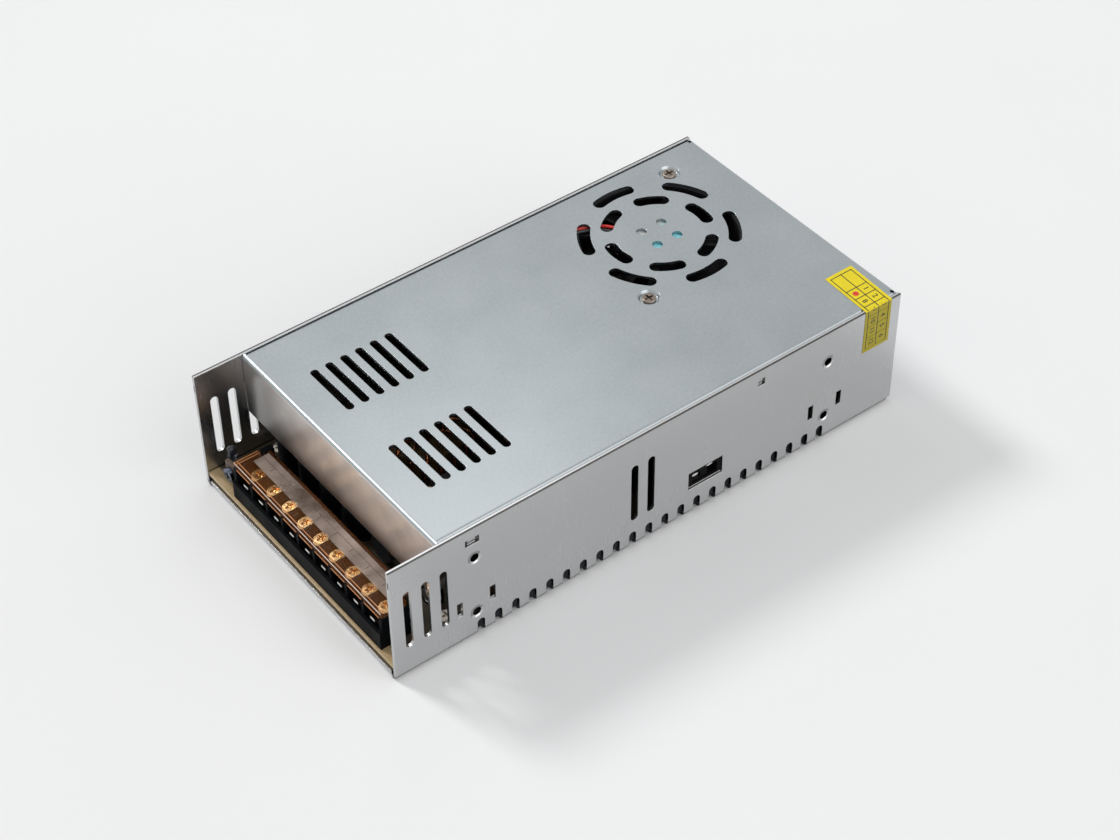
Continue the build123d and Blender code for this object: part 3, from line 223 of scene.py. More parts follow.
def relief(material, factor, height, edge=0.0):
    """Bump of a real height in metres, over edges that look rounded by a radius."""
    nodes, links = material.node_tree.nodes, material.node_tree.links
    bump = nodes.new("ShaderNodeBump")
    bump.inputs["Strength"].default_value = 1.0
    bump.inputs["Distance"].default_value = height
    links.new(factor, bump.inputs["Height"])
    if edge:
        rounding = nodes.new("ShaderNodeBevel")
        rounding.samples = 4
        rounding.inputs["Radius"].default_value = edge
        links.new(rounding.outputs["Normal"], bump.inputs["Normal"])
    links.new(bump.outputs["Normal"], nodes["Principled BSDF"].inputs["Normal"])


def moulded(name, colour, roughness, change=0.12, grain=2500.0, height=0.02 * MM, edge=0.15 * MM, mirror=0.5):
    """A plain moulded, painted or fired surface with a fine grain. Mirror is how much it reflects."""
    material, shader = new_finish(name, colour, roughness)
    shader.inputs["Specular IOR Level"].default_value = mirror
    cloud = noise_on(material, 120.0, detail=4.0)
    dark = [value * (1.0 - change) for value in colour]
    light = [min(value * (1.0 + change), 1.0) for value in colour]
    colour_between(material, cloud, dark, light)
    links = material.node_tree.links
    low, high = roughness * 0.85, min(roughness * 1.2, 1.0)
    links.new(ranged(material, cloud, low, high), shader.inputs["Roughness"])
    relief(material, noise_on(material, grain), height, edge)
    return material


def sheet_metal(name, dark, light, roughness, grain, stretch, height, edge, gloss_change=0.15):
    """Metal sheet: rolling grain in its colour, gloss and relief."""
    material, shader = new_finish(name, light, roughness, metallic=1.0)
    rolled = noise_on(material, grain, stretch, detail=3.0)
    cloud = noise_on(material, 45.0, detail=3.0)
    nodes, links = material.node_tree.nodes, material.node_tree.links
    both = nodes.new("ShaderNodeMix")
    both.inputs["Factor"].default_value = 0.45
    links.new(rolled, both.inputs["A"])
    links.new(cloud, both.inputs["B"])
    colour_between(material, both.outputs["Result"], dark, light)
    low, high = roughness * (1.0 - gloss_change), roughness * (1.0 + gloss_change)
    links.new(ranged(material, both.outputs["Result"], low, high), shader.inputs["Roughness"])
    relief(material, rolled, height, edge)
    return material


def dress(material, *names):
    """Gives CAD nodes a finish."""
    for name in names:
        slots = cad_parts[name].data.materials
        slots.clear()
        slots.append(material)
    print(material.name, "on", ", ".join(names))


# %% [markdown]
# The tray is plain folded sheet with the mill's grain running up its walls. The cover is brushed the
# other way and a shade bluer. A real brush leaves thousands of parallel scratches. Noise that is drawn
# out along one axis looks the same and needs no geometry.

# %% Sheet metal
tray_metal = sheet_metal(
    "tray_sheet",
    (0.555, 0.56, 0.565),
    (0.57, 0.575, 0.58),
    0.27,
    1400.0,
    (0.08, 1.0, 0.08),
    0.0003 * MM,
    0.25 * MM,
    gloss_change=0.03,
)
dress(tray_metal, "chassis")
cover_metal = sheet_metal(
    "cover_sheet",
    (0.35, 0.385, 0.40),
    (0.425, 0.46, 0.475),
    0.31,
    1300.0,
    (0.5, 1.0, 1.0),
    0.003 * MM,
    0.25 * MM,
    gloss_change=0.1,
)
dress(cover_metal, "top_cover")

# %% [markdown]
# Some things on the sheets are too fine for the solids. A dark line runs along the top edge of each wall,
# the slopes of the pressed locks and cut notches and the bores of the tapped holes get painted shade, the
# foot of each wall a painted contact shadow, and drawing the tapped holes inwards rounds their outer edges.
# All of it is worked out from the place on the sheet, as masks: sums that give 1 where a colour belongs and 0
# elsewhere.

# %% Masks on the tray
tray_x, tray_y, tray_z = place_on(tray_metal)
tray_out = worked(tray_metal, "ABSOLUTE", tray_x)


def between(value, low, high):
    """1 where a length of the tray lies between two others."""
    above = worked(tray_metal, "GREATER_THAN", value, low)
    return worked(tray_metal, "MULTIPLY", above, worked(tray_metal, "LESS_THAN", value, high))


def all_of(*masks):
    """1 where every mask of the tray is 1."""
    both = masks[0]
    for mask in masks[1:]:
        both = worked(tray_metal, "MULTIPLY", both, mask)
    return both


def distance(across, along):
    """How far a place on the tray is from a point, from its two legs."""
    squares = [worked(tray_metal, "MULTIPLY", leg, leg) for leg in (across, along)]
    return worked(tray_metal, "SQRT", worked(tray_metal, "ADD", *squares))


HOLE_Y = 75.0 * MM
HOLE_MIDDLE, HOLE_RISE = 24.0 * MM, 12.5 * MM
HOLE_EDGE, HOLE_ROUND = 1.65 * MM, 1.0 * MM
off_y = worked(tray_metal, "SUBTRACT", worked(tray_metal, "ABSOLUTE", tray_y), HOLE_Y)
off_z = worked(tray_metal, "ABSOLUTE", worked(tray_metal, "SUBTRACT", tray_z, HOLE_MIDDLE))
off_z = worked(tray_metal, "SUBTRACT", off_z, HOLE_RISE)
from_hole = distance(off_y, off_z)

BEND_X, BEND_Z, BEND_OUTSIDE = 55.3 * MM, 2.2 * MM, 2.1 * MM
below_bend = worked(tray_metal, "SUBTRACT", worked(tray_metal, "MINIMUM", tray_z, BEND_Z), BEND_Z)
beside_bend = worked(tray_metal, "SUBTRACT", tray_out, BEND_X)
in_bend = between(distance(below_bend, beside_bend), -MM, BEND_OUTSIDE)
print("distances from the holes and the bend")

# %% [markdown]
# Each mask lays its colour over the metal: the dark top line, or painted shade. The outer skin of a wall
# keeps its own colour, so a mask for a bore or a notch takes only what lies deeper than the skin.

# %% Dark top line and painted shade of the tray
DARK_LINE_AND_SHADE, NOTCH_SHADE_BLACK, BORE_SHADE_BLACK = (0.10, 0.095, 0.09), (0.015, 0.016, 0.018), (0.03, 0.03, 0.03)
AT_SKIN, DEEPER = (57.0 * MM, 58.0 * MM), (50.0 * MM, 57.4 * MM)
LOCK_DEPTH, LOCK_HEIGHT = (56.7 * MM, 57.4 * MM), (42.8 * MM, 45.8 * MM)
TOP_BAND, FOOT_TOP, FOOT_START = (49.6 * MM, 51.0 * MM), 1.9 * MM, 55.0 * MM
NOTCH_TOP, NOTCHES_END = 7.3 * MM, 77.0 * MM

top_line = all_of(between(tray_out, *AT_SKIN), between(tray_z, *TOP_BAND))
bore_shade = all_of(between(from_hole, -MM, HOLE_EDGE + 0.1 * MM), between(tray_out, *DEEPER))
foot_shadow = all_of(between(tray_out, FOOT_START, AT_SKIN[1]), between(tray_z, -MM, FOOT_TOP))
lock_shade = all_of(between(tray_out, *LOCK_DEPTH), between(tray_z, *LOCK_HEIGHT))
at_notches = all_of(between(tray_z, -MM, NOTCH_TOP), between(tray_y, -NOTCHES_END, NOTCHES_END))
notch_shade = all_of(in_bend, between(tray_out, *DEEPER), at_notches)
# Painted shade in the bores, lock slopes and notches, and a painted contact shadow along the foot.
for mask, colour in (
    (top_line, DARK_LINE_AND_SHADE),
    (bore_shade, BORE_SHADE_BLACK),
    (worked(tray_metal, "MULTIPLY", foot_shadow, 0.75), DARK_LINE_AND_SHADE),
    (lock_shade, DARK_LINE_AND_SHADE),
    (notch_shade, NOTCH_SHADE_BLACK),
):
    painted_over(tray_metal, mask, colour)
print("tray", len(tray_metal.node_tree.nodes), "nodes")

# %% [markdown]
# The cover's front flange stands over the amber cover, which throws warm light on it. Its warm tint is a
# painted reflection of that cover, with painted mottled reflections and a greyer end on the left.

# %% Painted reflections on the front flange of the cover
FLANGE_FRONT, FLANGE_TOP = -88.7 * MM, 49.0 * MM
cover_x, cover_y, cover_z = place_on(cover_metal)
at_flange = worked(cover_metal, "LESS_THAN", cover_y, FLANGE_FRONT)
at_flange = worked(cover_metal, "MULTIPLY", at_flange, worked(cover_metal, "LESS_THAN", cover_z, FLANGE_TOP))
# Painted reflection: a warm tint over the flange, then mottled patches and a greyer left end.
painted_over(cover_metal, at_flange, (0.76, 0.71, 0.67))
mottle = ranged(cover_metal, noise_on(cover_metal, 90.0, detail=4.0), 0.0, 0.4, 0.38, 0.66)
painted_over(cover_metal, worked(cover_metal, "MULTIPLY", at_flange, mottle), (0.52, 0.44, 0.385))
left_end = ranged(cover_metal, cover_x, 0.85, 0.0, -50.0 * MM, -20.0 * MM)
painted_over(cover_metal, worked(cover_metal, "MULTIPLY", at_flange, left_end), (0.34, 0.34, 0.335))

# %% [markdown]
# The rounded edge of a tapped hole is a funnel: the relief falls by a millimetre over the last millimetre
# before the hole, on the outer side of the wall only.

# %% Rounded edges of the tapped holes
INNER_SIDE = 56.0 * MM
funnel = ranged(tray_metal, from_hole, -HOLE_ROUND, 0.0, HOLE_EDGE, HOLE_EDGE + HOLE_ROUND)
funnel = worked(tray_metal, "MULTIPLY", funnel, worked(tray_metal, "GREATER_THAN", tray_out, INNER_SIDE))
tray_nodes, tray_links = tray_metal.node_tree.nodes, tray_metal.node_tree.links
rounding = tray_nodes.new("ShaderNodeBump")
rounding.inputs["Distance"].default_value = 1.0
tray_links.new(funnel, rounding.inputs["Height"])
tray_normal = tray_nodes["Principled BSDF"].inputs["Normal"]
tray_links.new(tray_normal.links[0].from_socket, rounding.inputs["Normal"])
tray_links.new(rounding.outputs["Normal"], tray_normal)
print("funnel", HOLE_ROUND / MM, "mm")

# %% [markdown]
# The small metal pieces differ in plating. Nickel is pale and warm, and zinc on the terminal screws is gold.
# The brass plates and clamps under them and the fuse clips are painted nearly black: painted shade under the
# amber cover and inside the case. A heatsink shows the straight lines of its extrusion.

# %% Screws, plates and heatsinks
screw_metal = sheet_metal(
    "nickel_screw",
    (0.36, 0.32, 0.27),
    (0.62, 0.58, 0.52),
    0.28, 900.0, (1.0, 1.0, 1.0), 0.004 * MM, 0.12 * MM,
)
dress(screw_metal, "cover_screws", "board_standoffs", "board_screws", "device_screws")
fan_screw_metal = sheet_metal(
    "dark_nickel",
    (0.16, 0.13, 0.11),
    (0.34, 0.29, 0.25),
    0.34, 900.0, (1.0, 1.0, 1.0), 0.004 * MM, 0.12 * MM,
)
dress(fan_screw_metal, "fan_screws")
brass_screw = sheet_metal(
    "yellow_zinc",
    (0.40, 0.20, 0.06),
    (0.99, 0.74, 0.40),
    0.14, 900.0, (1.0, 1.0, 1.0), 0.04 * MM, 0.1 * MM,
)
dress(brass_screw, "terminal_screws")
# Painted shade: the brass is nearly black, as it lies in shade under the amber cover.
shaded_plate_metal = sheet_metal(
    "shaded_brass",
    (0.003, 0.0024, 0.002),
    (0.014, 0.009, 0.006),
    0.45, 1500.0, (0.1, 1.0, 1.0), 0.003 * MM, 0.1 * MM,
)
dress(shaded_plate_metal, "terminal_plates", "terminal_clamps", "fuse_clips")
sink_metal = sheet_metal(
    "heatsink_aluminium",
    (0.55, 0.56, 0.57),
    (0.72, 0.73, 0.74),
    0.38, 1200.0, (1.0, 1.0, 0.04), 0.006 * MM, 0.2 * MM,
)
dress(sink_metal, "primary_heatsink", "output_heatsink")

# %% [markdown]
# The board is brown phenolic paper. Its colour is uneven, because the paper fibres show through the
# resin, and long fibres all lie one way. Behind the bare front margin it is painted nearly black: painted
# shade inside the case.

# %% Circuit board
board_finish = moulded("phenolic_board", (0.50, 0.36, 0.19), 0.42, change=0.10)
fibres = noise_on(board_finish, 700.0, (1.0, 0.08, 1.0), detail=4.0)
colour_between(board_finish, fibres, (0.44, 0.31, 0.155), (0.55, 0.41, 0.235))
board_y = place_on(board_finish)[1]
MARGIN_START, MARGIN_END = CASE_FRONT + 3.9 * MM, CASE_FRONT + 4.9 * MM
# Painted shade: behind the front margin the board is darkened.
board_shade = ranged(board_finish, board_y, 0.0, 0.9, MARGIN_START, MARGIN_END)
painted_over(board_finish, board_shade, (0.022, 0.018, 0.013))
dress(board_finish, "main_board")
film_finish, film_shader = new_finish("insulating_film", (0.82, 0.82, 0.76), 0.35)
film_shader.inputs["Transmission Weight"].default_value = 0.5
relief(film_finish, noise_on(film_finish, 60.0), 0.1 * MM)
dress(film_finish, "insulation_sheet")

# %% [markdown]
# Mouldings differ mostly in gloss. The terminal block and the selector are deep black and mirror almost
# nothing, a fan frame is a little shinier, and a chip's epoxy is grey and matt. Each has its own grain.

# %% Mouldings
dress(
    moulded("black_nylon", (0.004, 0.0045, 0.0055), 0.5, mirror=0.04),
    "terminal_block",
    "main_transformer_bobbin",
    "driver_transformer_bobbin",
)
dress(moulded("fan_plastic", (0.009, 0.009, 0.010), 0.5, mirror=0.15), "fan_frame", "fan_rotor")
dress(moulded("switch_plastic", (0.004, 0.004, 0.004), 0.6, mirror=0.06), "selector_slider", "selector_body")
dress(moulded("white_nylon", (0.80, 0.79, 0.75), 0.38), "fan_header", "fan_plug")
dress(moulded("trimmer_ceramic", (0.17, 0.115, 0.085), 0.5), "trimmer_body")
trimmer_metal = sheet_metal(
    "trimmer_steel",
    (0.04, 0.06, 0.11),
    (0.20, 0.23, 0.30),
    0.25, 1500.0, (1.0, 1.0, 1.0), 0.004 * MM, 0.15 * MM,
)
dress(trimmer_metal, "trimmer_disc")
label_finish = moulded("label_yellow", (0.78, 0.63, 0.015), 0.5, change=0.05, edge=0.0, mirror=0.3)
# Painted shade: the label's side down the wall is darker than its top, as it faces away from the key light.
shaded_side = worked(label_finish, "LESS_THAN", place_on(label_finish)[2], CASE_TOP - 0.05 * MM)
painted_over(label_finish, shaded_side, (0.38, 0.31, 0.018))
dress(label_finish, "date_label")
dress(moulded("red_wire", (0.62, 0.025, 0.02), 0.35), "fan_lead_red")
dress(moulded("black_wire", (0.018, 0.018, 0.02), 0.35), "fan_lead_black")
dress(
    moulded("sleeve", (0.006, 0.0065, 0.008), 0.45, mirror=0.15),
    "bulk_capacitors",
    "output_capacitors",
    "small_capacitors",
)
dress(moulded("toroid_coating", (0.10, 0.065, 0.02), 0.55), "output_choke_core")
dress(
    moulded("ferrite", (0.055, 0.055, 0.06), 0.6, grain=1200.0),
    "main_transformer_core",
    "driver_transformer_core",
    "line_filter_core",
)
dress(moulded("fan_core", (0.10, 0.055, 0.03), 0.5), "fan_stator")
dress(moulded("component_beige", (0.55, 0.42, 0.24), 0.45), "film_capacitor", "resistors")
dress(moulded("disc_coating", (0.10, 0.055, 0.03), 0.45), "disc_capacitors")
dress(
    moulded("epoxy_package", (0.022, 0.022, 0.024), 0.55, grain=4000.0),
    "inrush_thermistor",
    "bridge_rectifier",
    "switching_transistors",
    "output_rectifiers",
    "control_chip",
    "optocoupler",
)

# %% [markdown]
# The sticker on the fan's hub is printed in two fields: a blue one and a silver one with dark marks. It is
# seen only through four small holes, two over each field, so one step in the colour along X does it.

# %% Sticker on the fan
FAN_X = -19.8 * MM
sticker = moulded("fan_sticker", (0.30, 0.78, 0.86), 0.3, change=0.06)
sticker_x = place_on(sticker)[0]
marks_seen = ranged(sticker, noise_on(sticker, 420.0, (1.0, 0.3, 1.0)), 0.0, 0.45, 0.45, 0.60)
on_blue = worked(sticker, "GREATER_THAN", sticker_x, FAN_X)
sticker_field = worked(sticker, "MAXIMUM", on_blue, marks_seen)
colour_between(sticker, sticker_field, (0.62, 0.64, 0.62), (0.26, 0.74, 0.84))
dress(sticker, "fan_label")

# %% [markdown]
# A transformer is wrapped in several laps of yellow tape, and each lap leaves a fine step. A coil of
# enamelled wire shows its turns as a close row of ridges. Both are the same wave in the relief, coarse for
# tape and fine for wire.


# %% Wound parts
def wound(name, colour, roughness, pitch, height, metallic=0.0):
    """A winding whose turns lie one above the other."""
    material, shader = new_finish(name, colour, roughness, metallic)
    cloud = noise_on(material, 200.0, detail=3.0)
    colour_between(material, cloud, [v * 0.85 for v in colour], [min(v * 1.12, 1.0) for v in colour])
    nodes, links = material.node_tree.nodes, material.node_tree.links
    place = nodes.new("ShaderNodeTexCoord")
    turns = nodes.new("ShaderNodeTexWave")
    turns.bands_direction = "Z"
    turns.inputs["Scale"].default_value = 0.314 / pitch
    turns.inputs["Distortion"].default_value = 0.4
    links.new(place.outputs["Object"], turns.inputs["Vector"])
    relief(material, turns.outputs["Fac"], height)
    return material


tape_finish = wound("yellow_tape", (0.68, 0.50, 0.06), 0.35, 2.5 * MM, 0.08 * MM)
dress(tape_finish, "main_transformer_coil", "driver_transformer_coil")
copper_finish = wound("enamelled_copper", (0.62, 0.24, 0.10), 0.28, 0.9 * MM, 0.25 * MM, metallic=1.0)
dress(copper_finish, "line_filter_coils", "output_choke_winding")

# %% [markdown]
# Two pieces are clear: the lamp and the glass fuse. They are closed solids, so the shader can bend the
# light through them. The amber cover over the terminals is a thin tinted wall. Bent light would blur the
# screws below it, so it is a moulding that lets most of the light straight through: a low alpha.


# %% Clear pieces
def clear(name, colour, roughness, haze, ior, wavy=0.01 * MM):
    """A clear solid with a little haze and slightly wavy faces."""
    material, shader = new_finish(name, colour, roughness)
    shader.inputs["IOR"].default_value = ior
    shader.inputs["Transmission Weight"].default_value = 1.0 - haze
    cloud = noise_on(material, 150.0, detail=3.0)
    colour_between(material, cloud, [v * 0.92 for v in colour], [min(v * 1.05, 1.0) for v in colour])
    relief(material, noise_on(material, 90.0), wavy, 0.15 * MM)
    return material


amber_finish = moulded("amber_cover", (0.46, 0.15, 0.025), 0.12, change=0.2, height=0.004 * MM)
amber_finish.node_tree.nodes["Principled BSDF"].inputs["Alpha"].default_value = 0.09
dress(amber_finish, "terminal_cover")
lamp_finish = clear("lamp_lens", (0.10, 0.105, 0.14), 0.12, 0.25, 1.5, wavy=0.04 * MM)
lamp_foot = ranged(lamp_finish, place_on(lamp_finish)[2], 1.0, 0.0, 13.6 * MM, 14.4 * MM)
painted_over(lamp_finish, lamp_foot, (0.02, 0.02, 0.025))
dress(lamp_finish, "indicator_lamp")
dress(clear("fuse_glass", (0.92, 0.94, 0.93), 0.03, 0.02, 1.5), "fuse")

# %% [markdown]
# The floor is a wide pale sheet that fills the view, so there is no horizon. Its own colour is the
# background of the photograph. Faint mottling keeps it from looking like a blank.

# %% Floor
floor_mesh = bmesh.new()
bmesh.ops.create_grid(floor_mesh, x_segments=2, y_segments=2, size=6.0)
floor_data = bpy.data.meshes.new("floor")
floor_mesh.to_mesh(floor_data)
floor_mesh.free()
floor = bpy.data.objects.new("floor", floor_data)
bpy.context.scene.collection.objects.link(floor)
floor_finish, floor_shader = new_finish("floor_paper", BACKGROUND[:3], 0.9)
floor_shader.inputs["Specular IOR Level"].default_value = 0.1
colour_between(floor_finish, noise_on(floor_finish, 8.0), (0.858, 0.858, 0.858), (0.868, 0.868, 0.868))
floor_data.materials.append(floor_finish)
print("floor", [round(v, 1) for v in floor.dimensions])


# %% [markdown]
# New pieces are built as bare meshes and handed over by one helper: it makes the object, gives it its
# finish and smooth shading, and tells the frame which body it rides on.


# %% Handing over a new piece
def add_piece(name, mesh, material, body="case", smooth=True):
    """Makes a bmesh an object of the supply."""
    bmesh.ops.recalc_face_normals(mesh, faces=mesh.faces)
    data = bpy.data.meshes.new(name)
    mesh.to_mesh(data)
    mesh.free()
    for face in data.polygons:
        face.use_smooth = smooth
    data.materials.append(material)
    piece = bpy.data.objects.new(name, data)
    bpy.context.scene.collection.objects.link(piece)
    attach(piece, body)
    print(name, len(data.polygons), "faces")
    return piece


def slab(mesh, low, high):
    """A thin block between two corners, in metres."""
    size = Vector(high) - Vector(low)
    place = Matrix.Translation((Vector(high) + Vector(low)) / 2) @ Matrix.Diagonal((*size, 1.0))
    return bmesh.ops.create_cube(mesh, size=1.0, matrix=place)["verts"]


# %% [markdown]
# The date label is a yellow sticker folded over the top edge, printed with a grid of twelve months. The
# print is real geometry, a hair thick: lines from thin slabs, and digits from Blender's own font,
# turned into a mesh. One function places both, by the distance along the sticker and across it, and bends
# them over the fold.

# %% Print on the date label
LABEL_REAR = 103.2 * MM
LABEL_ON_TOP = 21.8 * MM
LABEL_SKEW = 0.042
INK_LIFT = 0.15 * MM
INK_THICK = 0.02 * MM
INK_LINE = 0.38 * MM
FOLD_GAP = 0.002 * MM
FIRST_CELL = 9.9 * MM
CELL = 4.83 * MM
GRID_START, GRID_END = 1.6 * MM, 38.9 * MM
DIGIT_SIZE = 3.0 * MM
DOT_RADIUS = 1.15 * MM
MARKED_MONTH = 7
COLUMN_EDGES = (1.4 * MM, 6.1 * MM, 10.8 * MM)


def on_label(verts):
    """Lays flat verts (x along the label, y across it from the rear, z up) over the fold."""
    for vert in verts:
        along, across, up = vert.co
        lift = INK_LIFT + up
        if along < LABEL_ON_TOP + FOLD_GAP / 2:
            rest = LABEL_ON_TOP - along
            vert.co = Vector((WALL - rest, LABEL_REAR - across + LABEL_SKEW * rest, CASE_TOP + lift))
        else:
            vert.co = Vector((WALL + lift, LABEL_REAR - across, CASE_TOP + LABEL_ON_TOP - along))


def label_line(mesh, start, end, width):
    """A printed line between two (along, across) places, cut at the fold."""
    pieces = [(start[0], end[0])]
    if start[0] < LABEL_ON_TOP < end[0]:
        pieces = [(start[0], LABEL_ON_TOP), (LABEL_ON_TOP + FOLD_GAP, end[0])]
    for first, last in pieces:
        low = (first - width / 2, min(start[1], end[1]) - width / 2, 0.0)
        high = (last + width / 2, max(start[1], end[1]) + width / 2, INK_THICK)
        low = (max(low[0], first) if first > LABEL_ON_TOP else low[0], low[1], low[2])
        high = (min(high[0], LABEL_ON_TOP) if last == LABEL_ON_TOP else high[0], high[1], high[2])
        on_label(slab(mesh, low, high))


def digit_mesh(text, size):
    """Flat letters as a mesh, centred on the origin."""
    curve = bpy.data.curves.new("digits", "FONT")
    curve.body = text
    curve.size = size
    curve.align_x = "CENTER"
    curve.align_y = "CENTER"
    curve.resolution_u = 3
    curve.extrude = INK_THICK / 2
    curve.offset = 0.06 * MM
    letters = bpy.data.objects.new("digits", curve)
    bpy.context.scene.collection.objects.link(letters)
    bpy.context.view_layer.update()
    data = bpy.data.meshes.new_from_object(letters.evaluated_get(bpy.context.evaluated_depsgraph_get()))
    bpy.data.objects.remove(letters)
    return data


ink = bmesh.new()
for across in COLUMN_EDGES:
    label_line(ink, (GRID_START, across), (GRID_END, across), INK_LINE)
for along in [GRID_START] + [FIRST_CELL + CELL * i for i in range(7)]:
    label_line(ink, (along, COLUMN_EDGES[0]), (along, COLUMN_EDGES[-1]), INK_LINE)
for month in range(1, 13):
    column, cell = divmod(month - 1, 6)
    if month == MARKED_MONTH:
        continue
    digits = digit_mesh(str(month), DIGIT_SIZE)
    middle = (COLUMN_EDGES[column] + COLUMN_EDGES[column + 1]) / 2
    place = Vector((FIRST_CELL + CELL * (cell + 0.5), middle, INK_THICK / 2))
    before = set(ink.verts)
    ink.from_mesh(digits)
    fresh = [vert for vert in ink.verts if vert not in before]
    for vert in fresh:
        vert.co = Vector((vert.co.x, -vert.co.y, vert.co.z)) + place
    on_label(fresh)
ink_finish = moulded("label_ink", (0.05, 0.045, 0.01), 0.5, height=0.005 * MM, edge=0.0)
add_piece("date_label_print", ink, ink_finish, smooth=False)

dot = bmesh.new()
dot_across = (COLUMN_EDGES[1] + COLUMN_EDGES[2]) / 2
dot_middle = Matrix.Translation((FIRST_CELL + CELL * 0.5, dot_across, INK_THICK / 2))
bmesh.ops.create_cone(
    dot,
    cap_ends=True,
    segments=20,
    radius1=DOT_RADIUS,
    radius2=DOT_RADIUS,
    depth=INK_THICK,
    matrix=dot_middle,
)
on_label(dot.verts)
dot_finish = moulded("marker_red", (0.65, 0.04, 0.02), 0.5, height=0.005 * MM, edge=0.0)
add_piece("date_label_dot", dot, dot_finish, smooth=False)

# %% [markdown]
# The choke is a ring wound with thick enamelled wire. In the solids each turn is a square loop of its
# own. Here one round wire runs round and round the ring. A full winding is one curve with a round
# bevel: its points follow the turns, and the ends drop to the board.

# %% Winding of the output choke
CHOKE = mm(-20.5, -41.5, 12.7)
CHOKE_RING = 13.0 * MM
TURN_HALF = 5.95 * MM
WIRE = 0.75 * MM
TURNS = 20
STEPS = 24
SHARE_WOUND = 0.96
SQUARENESS = 3.2


def turn_point(step):
    """Middle of the wire at a step along the winding."""
    around = 2 * pi * step / (TURNS * STEPS) * SHARE_WOUND
    turn = 2 * pi * step / STEPS
    sharp = (abs(cos(turn)) ** SQUARENESS + abs(sin(turn)) ** SQUARENESS) ** (-1 / SQUARENESS)
    out = CHOKE_RING + TURN_HALF * sharp * cos(turn)
    return CHOKE + Vector((out * cos(around), out * sin(around), TURN_HALF * sharp * sin(turn)))


winding_points = [turn_point(step) for step in range(TURNS * STEPS + 1)]
for end in (0, -1):
    foot = winding_points[end].copy()
    foot.z = BOARD_TOP - 0.2 * MM
    winding_points.insert(0 if end == 0 else len(winding_points), foot)
winding_curve = bpy.data.curves.new("choke_wire", "CURVE")
winding_curve.dimensions = "3D"
winding_curve.bevel_depth = WIRE
winding_curve.bevel_resolution = 2
winding_curve.use_fill_caps = True
spline = winding_curve.splines.new("POLY")
spline.points.add(len(winding_points) - 1)
for point, place in zip(spline.points, winding_points):
    point.co = (*place, 1.0)
wire_object = bpy.data.objects.new("choke_wire", winding_curve)
bpy.context.scene.collection.objects.link(wire_object)
bpy.context.view_layer.update()
winding = bmesh.new()
wire_shape = wire_object.evaluated_get(bpy.context.evaluated_depsgraph_get())
winding.from_mesh(bpy.data.meshes.new_from_object(wire_shape))
bpy.data.objects.remove(wire_object)
bmesh.ops.remove_doubles(winding, verts=winding.verts, dist=0.001 * MM)
wire_finish = moulded("copper_wire", (0.60, 0.22, 0.09), 0.22, change=0.15, height=0.004 * MM, edge=0.0)
wire_finish.node_tree.nodes["Principled BSDF"].inputs["Metallic"].default_value = 0.9
choke_wire = add_piece("choke_wire", winding, wire_finish)
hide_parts("output_choke_winding")

# %% [markdown]
# An electrolytic can shows bare aluminium inside the rim of its sleeve, pressed with a cross so that
# it can vent. A filled circle is cut along the arms of the cross, and the middle line of each arm is pushed
# down.

# %% Tops of the capacitors
CANS = {
    "bulk": (((30.0, -23.5), (30.0, 4.5)), 12.5, 36.0),
    "output": (((-40.5, -80.5), (-27.3, -80.5), (-14.1, -80.5), (-0.9, -80.5)), 6.4, 26.0),
    "small": (((3.0, 50.5), (3.0, 62.5), (3.0, 74.5)), 4.0, 12.0),
}
CAN_RIM = 1.4
TOP_SUNK = 0.2
TOP_SKIRT = 0.28 * MM
STRIPE_GAP = 0.03
STRIPE_FOOT = 0.4
STRIPE_TURN = radians(48)
SCORE_HALF = 0.35 * MM
SCORE_DEPTH = 0.25 * MM
tops = bmesh.new()
stripes = bmesh.new()
for places, radius, height in CANS.values():
    for x, y in places:
        middle = mm(x, y, BOARD_TOP / MM + height - TOP_SUNK)
        disc = bmesh.new()
        bmesh.ops.create_circle(disc, cap_ends=True, segments=40, radius=(radius - CAN_RIM) * MM)
        for direction in ((1, 0, 0), (0, 1, 0)):
            for shift in (-SCORE_HALF, 0.0, SCORE_HALF):
                cut = Vector(direction) * shift
                faces = disc.verts[:] + disc.edges[:] + disc.faces[:]
                bmesh.ops.bisect_plane(disc, geom=faces, plane_co=cut, plane_no=direction)
        reach = (radius - CAN_RIM) * 0.7 * MM
        for vert in disc.verts:
            on_arm = min(abs(vert.co.x), abs(vert.co.y)) < 0.001 * MM
            if on_arm and vert.co.length < reach:
                vert.co.z -= SCORE_DEPTH
        rim = [edge for edge in disc.edges if edge.is_boundary]
        skirt = bmesh.ops.extrude_edge_only(disc, edges=rim)["geom"]
        lowered = [item for item in skirt if isinstance(item, bmesh.types.BMVert)]
        bmesh.ops.translate(disc, verts=lowered, vec=(0, 0, -TOP_SKIRT))
        bmesh.ops.translate(disc, verts=disc.verts, vec=middle)
        disc_data = bpy.data.meshes.new("can_top")
        disc.to_mesh(disc_data)
        disc.free()
        tops.from_mesh(disc_data)
        arc = bmesh.new()
        foot = arc.verts.new(mm(0, radius + STRIPE_GAP, BOARD_TOP / MM + STRIPE_FOOT))
        head = arc.verts.new(mm(0, radius + STRIPE_GAP, BOARD_TOP / MM + height - CAN_RIM))
        line = arc.edges.new((foot, head))
        swept = [foot, head, line]
        bmesh.ops.spin(arc, geom=swept, axis=(0, 0, 1), cent=(0, 0, 0), angle=STRIPE_TURN, steps=10)
        bmesh.ops.solidify(arc, geom=arc.faces[:], thickness=0.05 * MM)
        bmesh.ops.translate(arc, verts=arc.verts, vec=mm(x, y, 0))
        arc_data = bpy.data.meshes.new("stripe")
        arc.to_mesh(arc_data)
        arc.free()
        stripes.from_mesh(arc_data)
